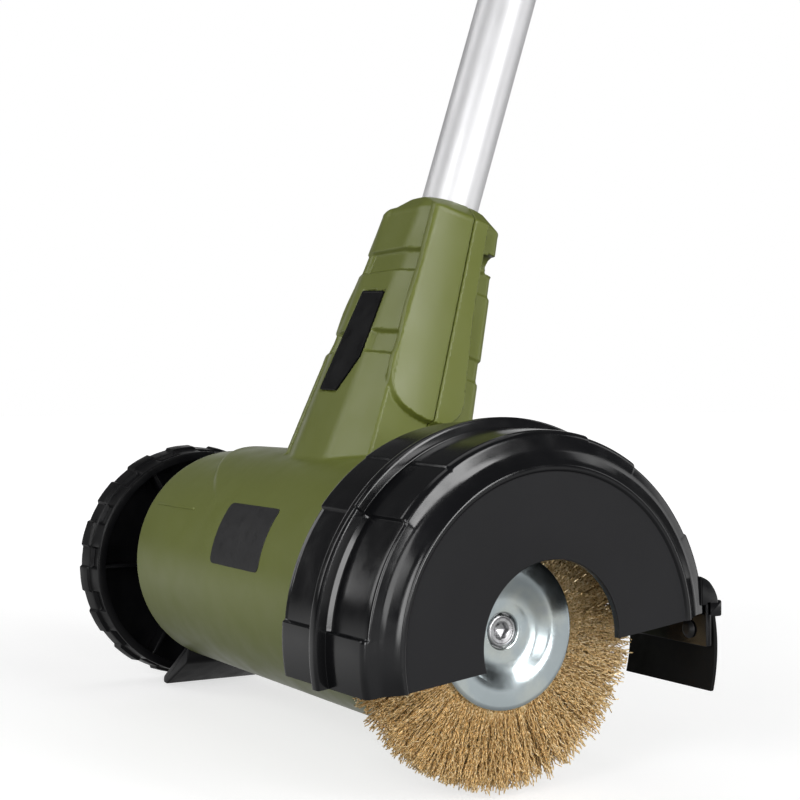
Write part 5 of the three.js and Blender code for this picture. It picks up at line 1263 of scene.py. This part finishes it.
# Loop handle
LOOP_LONG = 83.9
LOOP_SHORT = 53.9
HOLE_LONG = 50.0
HOLE_SHORT = 24.0
HOLE_DROP = 8.0
HANDLE_HALF = 17.0
GROOVE_INSET = 10.0
HANDLE_WALL = 3.2
SOCKET_FOOT = 946
SOCKET_HEAD = 1034
TUBE_HEAD = 1008.3
LOOP_EDGE = 7.0
SOCKET_RADIUS = 20.8
TRIGGER_SLOT = (9.85, 17, 26.55, 16)
SLOT_HALF = 5.9
BUTTON_PLACE = (-46, 27)
BUTTON_RADIUS = 6.9
GLAND_START = 75
GLAND_RADIUS = 8.3
SCREW_LEVEL = -9
BUTTON_ROOM = 5.0
HANDLE_SCREWS = ((67, -6), (-22, -41))


def handle_field(u, y, w):
    """The loop handle with its socket on the pole."""
    outer = ellipse_field(u, w, LOOP_LONG, LOOP_SHORT)
    hole = ellipse_field(u, w + HOLE_DROP, HOLE_LONG, HOLE_SHORT)
    flat = np.maximum(outer, -hole)
    deep = np.abs(y) - HANDLE_HALF
    over, beyond = flat + LOOP_EDGE, deep + LOOP_EDGE
    loop = np.hypot(np.maximum(over, 0), np.maximum(beyond, 0)) - LOOP_EDGE
    loop = loop + np.minimum(np.maximum(over, beyond), 0)
    cosine, sine = math.cos(LOOP_TURN), math.sin(LOOP_TURN)
    along = LOOP_REACH + u * cosine - w * sine
    up = LOOP_HEIGHT + u * sine + w * cosine
    post = np.hypot(along, y)
    socket = soft_max(post - SOCKET_RADIUS + 0.02 * (1000 - np.minimum(up, 1000)) * 0.6, SOCKET_FOOT - up, 3)
    socket = soft_max(socket, up - SOCKET_HEAD, 6)
    socket = np.maximum(socket, -hole)
    body = np.maximum(soft_min(loop, socket, 9), -hole)
    groove = np.exp(-((flat + GROOVE_INSET) / 1.1) ** 2)
    body = body + 0.9 * groove * (np.abs(y) > HANDLE_HALF - 3) * (post > 26)
    body = np.maximum(body, -np.maximum(post - TUBE_CLEAR, up - TUBE_HEAD))
    cavity = np.maximum(loop + HANDLE_WALL, 22 - post)
    body = np.maximum(body, -cavity)
    back, level, half_long, half_high = TRIGGER_SLOT
    trigger = np.maximum(round_box(u + back, w - level, half_long, half_high, 2), np.abs(y) - SLOT_HALF)
    body = np.maximum(body, -trigger)
    button = np.hypot(u - BUTTON_PLACE[0], w - BUTTON_PLACE[1]) - BUTTON_RADIUS
    body = np.maximum(body, -np.maximum(button, -BUTTON_ROOM - y))
    body = np.maximum(body, -np.maximum(np.hypot(y, w) - GLAND_RADIUS, GLAND_START - u))
    for place_u, place_w in HANDLE_SCREWS:
        pocket = np.maximum(np.hypot(u - place_u, w - place_w) - POCKET_RADIUS, y - SCREW_LEVEL)
        body = soft_max(body, -pocket, 0.7)
    return body


def left_half(u, y, w):
    """The handle's left side of the seam."""
    return soft_max(handle_field(u, y, w), SEAM_HALF - y, 0.6)


def right_half(u, y, w):
    """The handle's right side of the seam."""
    return soft_max(handle_field(u, y, w), y + SEAM_HALF, 0.6)


class WEEDBRUSH_OT_loop_handle(bpy.types.Operator):
    """Make the loop handle with its trigger, button and cord gland"""

    bl_idname = "weedbrush.loop_handle"
    bl_label = "Loop handle"

    def execute(self, context):
        step = skin_step(context.scene.weed_brush_sizes)
        for side, half, low, high in (("left", left_half, 0, 22), ("right", right_half, -22, 0)):
            build(f"handle_{side}", [skin(half, (-135, low, -100), (86, high, 56), step)], LOOP,
                  "olive_moulding", "handle", [f"handle_{side}_shell"])
        outline = rounded([
            (-34.8, 24.8), (-34.8, 16), (-25, 11), (-10.5, 6), (14, 8), (14, 24.8),
        ], [1, 3, 4, 12, 2, 1], 6)
        lever = slab(outline, -5.5, 5.5, 1.4, 4)
        build("trigger_lever", [lever], LOOP, "red_moulding", "trigger", ["trigger"])
        cap = turned([(0, 22), (5.6, 22), (6.5, 21), (6.5, 8), (3.4, 8), (3.4, 1), (0, 1)],
                     [0, 1.4, 1, .3, .3, .3, 0], 48, closed=False)
        cap = set_in(cap, shift(BUTTON_PLACE[0], 0, BUTTON_PLACE[1]))
        build("button_cap", [cap], LOOP, "red_moulding", "lock_button", ["lock_button"])
        build("gland", [gland_part()], LOOP @ Matrix.Rotation(math.radians(-90), 4, "Z"), "rubber",
              "handle", ["cord_gland"])
        return {"FINISHED"}


def gland_part():
    """The ribbed cord gland, turned about its own axis."""
    return turned([
        (4.2, 75), (11, 75), (11, 78), (8, 78.2), (8, 80.5), (7.4, 81), (7.4, 82), (8, 82.5), (8, 84.8),
        (10, 85), (10, 88), (7.6, 88.4), (7.2, 91), (6.6, 91.4), (6.6, 92.4), (6.9, 92.8), (6.3, 98),
        (4.2, 98),
    ], 0.5, 56, 3)


# Screws and the rest of the frame's own pieces
SCREWS = {
    "case_screw": ("head", "steel", [
        STEM @ shift(8, y, z) @ QUARTER
        for y, z in ((-17.2, 142), (17.2, 142), (-38, -38), (87, -38))
    ]),
    "handle_screw": ("handle", "steel", [LOOP @ shift(u, SCREW_LEVEL, w) for u, w in HANDLE_SCREWS]),
}


def screw_part():
    """A pan-head screw with a cross recess, along +Y from under its head."""
    points, faces = turned([
        (0, -2.4), (2.4, -2.4), (3.7, -1.2), (3.7, 0), (1.9, 0), (1.9, 18), (0.4, 20), (0, 20),
    ], [0, 1, .8, .2, .2, .5, .2, 0], 48, closed=False)
    across, along = np.abs(points[:, 0]), np.abs(points[:, 2])
    sunk = (points[:, 1] < -1.9) & (np.minimum(across, along) < 0.45) & (np.hypot(across, along) < 2.3)
    points[sunk, 1] += 1.3
    return points, faces


CAD_FINISHES = {
    "cast_alloy": ["gearbox_plate"],
    "turned_steel": ["spindle_bearing_front", "rotor_bearing_front", "rotor_bearing_rear", "rotor_shaft",
                     "spindle", "output_gear", "brush_bush", "guard_screw_1", "guard_screw_2",
                     "carrier_screw_1", "carrier_screw_2"],
    "pressed_brass": ["spindle_bush_rear", "brush_holder_front", "brush_holder_rear"],
    "stacked_sheet": ["stator_core", "armature_core"],
    "enamelled_wire": ["field_coil_upper", "field_coil_lower", "armature_winding"],
    "copper": ["commutator"],
    "natural_nylon": ["cooling_fan"],
    "pressed_carbon": ["carbon_brush_front", "carbon_brush_rear"],
    "rubber": ["internal_lead"],
    "black_satin": ["switch_body"],
}


class WEEDBRUSH_OT_small_parts(bpy.types.Operator):
    """Make the screws, and finish the pieces that the frame brings"""

    bl_idname = "weedbrush.small_parts"
    bl_label = "Small parts"

    def execute(self, context):
        for name, (body, slot, places) in SCREWS.items():
            for index, place in enumerate(places):
                node = f"{name}_{index + 1}"
                build(f"{node}_head", [screw_part()], place, "turned_steel", body, [node], 40)
        for finish, nodes in CAD_FINISHES.items():
            for name in nodes:
                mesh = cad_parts[name].data
                mesh.materials.clear()
                mesh.materials.append(FINISHES[finish])
        return {"FINISHED"}


# Camera, lights and floor
CAMERA_PLACE = (-300.93, -439.90, 80.86)
CAMERA_TURN = (90.0, 0.0, -30.35)
CAMERA_LENS = 68.64
FLOOR_LEVEL = -58.6
GLOW_BY_HEIGHT = [(0.2, 0.28), (0.33, 0.36), (0.425, 0.74), (0.49, 0.44), (0.53, 0.07)]
BACKDROP_WAY = (0.505, 0.863, 0.0)
BACKDROP_GLOW = 0.8
BACKDROP_EDGE = (0.7, 0.97)
BACKDROP_TOP = (0.5, 0.2)
FLOOR_GLOW = (0.64, 1.02)
FLOOR_FADE = (0.25, 1.3)
LIGHTS_AIM = (0, 80, 60)
LIGHTS = [
    ("key", (-1100, -560, 400), (0.5, 0.9), 11.5),
    ("side", (350, -1250, 500), (0.36, 1.2), 14.0),
    ("right", (1300, -500, 400), (0.5, 1.4), 4.0),
    ("top", (100, 400, 1500), (1.2, 0.8), 3.0),
    ("back", (-1000, 1000, 800), (0.5, 1.2), 5.5),
    ("front", (-450, -1200, 300), (0.6, 0.6), 5.0),
]


def studio_world():
    """White for the camera. Surfaces see a pale floor, a dim room and a light backdrop."""
    world = bpy.data.worlds.new("studio")
    world.use_nodes = True
    tree = world.node_tree
    tree.nodes.clear()

    def add(kind, inputs=(), **settings):
        """The first output of a new node."""
        return add_node(tree, kind, inputs, **settings).outputs[0]

    way = add_node(tree, "ShaderNodeTexCoord").outputs["Generated"]
    level = add_node(tree, "ShaderNodeSeparateXYZ", {"Vector": way}).outputs["Z"]
    height = add("ShaderNodeMapRange", {"Value": level, "From Min": -1.0})
    glow = add("ShaderNodeValToRGB", {"Fac": height})
    fill_ramp(glow.node.color_ramp, [(place, (light,) * 3) for place, light in GLOW_BY_HEIGHT])
    behind = add_node(tree, "ShaderNodeVectorMath", {0: way, 1: BACKDROP_WAY}, operation="DOT_PRODUCT")
    start, end = BACKDROP_EDGE
    far = add("ShaderNodeMapRange", {
        "Value": behind.outputs["Value"], "From Min": start, "From Max": end, "To Max": BACKDROP_GLOW,
    })
    start, end = BACKDROP_TOP
    low = add("ShaderNodeMapRange", {"Value": level, "From Min": start, "From Max": end})
    both = add("ShaderNodeMath", {0: far, 1: low}, operation="MULTIPLY")
    most = add("ShaderNodeMath", {0: glow, 1: both}, operation="MAXIMUM")
    lit = add("ShaderNodeBackground", {"Color": most})
    seen = add("ShaderNodeBackground", {"Color": (1, 1, 1, 1)})
    camera = add_node(tree, "ShaderNodeLightPath").outputs["Is Camera Ray"]
    mix = add("ShaderNodeMixShader", {0: camera, 1: lit, 2: seen})
    add_node(tree, "ShaderNodeOutputWorld", {"Surface": mix})
    return world


class WEEDBRUSH_OT_stage(bpy.types.Operator):
    """Set up the floor, the soft lights and the camera"""

    bl_idname = "weedbrush.stage"
    bl_label = "Stage"

    def execute(self, context):
        scene = context.scene
        reach = scene.weed_brush_sizes.floor_reach
        centre = HEAD @ Vector((0, 120, FLOOR_LEVEL))
        mesh = bpy.data.meshes.new("floor")
        corners = [
            centre + Vector((x * reach, y * reach, 0)) for x, y in ((-1, -1), (1, -1), (1, 1), (-1, 1))
        ]
        mesh.from_pydata(corners, [], [(0, 1, 2, 3)])
        pale = Finish("pale_floor", (0.5, 0.5, 0.5), 0.8)
        pale.patchy(900, 2, 0.01)
        pale.set(Emission_Color=(1, 1, 1, 1))
        away = pale.node("ShaderNodeVectorMath", {0: pale.place, 1: centre}, operation="DISTANCE")
        pale.link(pale.ranged(away.outputs["Value"], *FLOOR_GLOW, *FLOOR_FADE), "Emission Strength")
        mesh.materials.append(pale.material)
        floor = bpy.data.objects.new("floor", mesh)
        scene.collection.objects.link(floor)
        floor.visible_diffuse = floor.visible_glossy = False
        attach(floor, "head")
        scene.world = studio_world()
        scene.view_settings.view_transform = "Standard"
        aim = HEAD @ Vector(LIGHTS_AIM)
        for name, place, size, power in LIGHTS:
            lamp = bpy.data.lights.new(name, "AREA")
            lamp.shape = "RECTANGLE"
            lamp.size, lamp.size_y = size
            lamp.energy = power
            light = bpy.data.objects.new(name, lamp)
            light.location = HEAD @ Vector(place)
            light.rotation_euler = (aim - light.location).to_track_quat("-Z", "Y").to_euler()
            scene.collection.objects.link(light)
        camera = bpy.data.cameras.new("camera")
        camera.lens = CAMERA_LENS
        camera.sensor_width = 36
        camera.clip_start, camera.clip_end = 0.01, 100
        viewer = bpy.data.objects.new("camera", camera)
        viewer.location = HEAD @ Vector(CAMERA_PLACE)
        viewer.rotation_euler = [math.radians(value) for value in CAMERA_TURN]
        scene.collection.objects.link(viewer)
        scene.camera = viewer
        return {"FINISHED"}


class WEEDBRUSH_PT_panel(bpy.types.Panel):
    """Sizes, colours and pieces of the weed brush"""

    bl_label = "Weed brush"
    bl_idname = "WEEDBRUSH_PT_panel"
    bl_space_type = "VIEW_3D"
    bl_region_type = "UI"
    bl_category = "Weed brush"

    def draw(self, context):
        layout = self.layout
        for group in (context.scene.weed_brush_sizes, context.scene.weed_brush_colours):
            for name in group.__annotations__:
                layout.prop(group, name)
        for operator in OPERATORS:
            layout.operator(operator.bl_idname)


OPERATORS = (
    WEEDBRUSH_OT_stage,
    WEEDBRUSH_OT_housing,
    WEEDBRUSH_OT_plates,
    WEEDBRUSH_OT_hood,
    WEEDBRUSH_OT_flap,
    WEEDBRUSH_OT_brush,
    WEEDBRUSH_OT_wheel,
    WEEDBRUSH_OT_pole,
    WEEDBRUSH_OT_front_handle,
    WEEDBRUSH_OT_loop_handle,
    WEEDBRUSH_OT_small_parts,
)
CLASSES = (WeedBrushColours, WeedBrushSizes, *OPERATORS, WEEDBRUSH_PT_panel)


def register():
    """Adds the classes and their settings."""
    for item in CLASSES:
        bpy.utils.register_class(item)
    bpy.types.Scene.weed_brush_sizes = PointerProperty(type=WeedBrushSizes)
    bpy.types.Scene.weed_brush_colours = PointerProperty(type=WeedBrushColours)


def unregister():
    """Takes the classes and their settings out again."""
    del bpy.types.Scene.weed_brush_sizes
    del bpy.types.Scene.weed_brush_colours
    for item in reversed(CLASSES):
        bpy.utils.unregister_class(item)


def main():
    """Makes the finishes and every piece."""
    register()
    make_finishes(bpy.context.scene.weed_brush_colours)
    for operator in OPERATORS:
        group, name = operator.bl_idname.split(".")
        getattr(getattr(bpy.ops, group), name)()


if __name__ == "__main__":
    main()
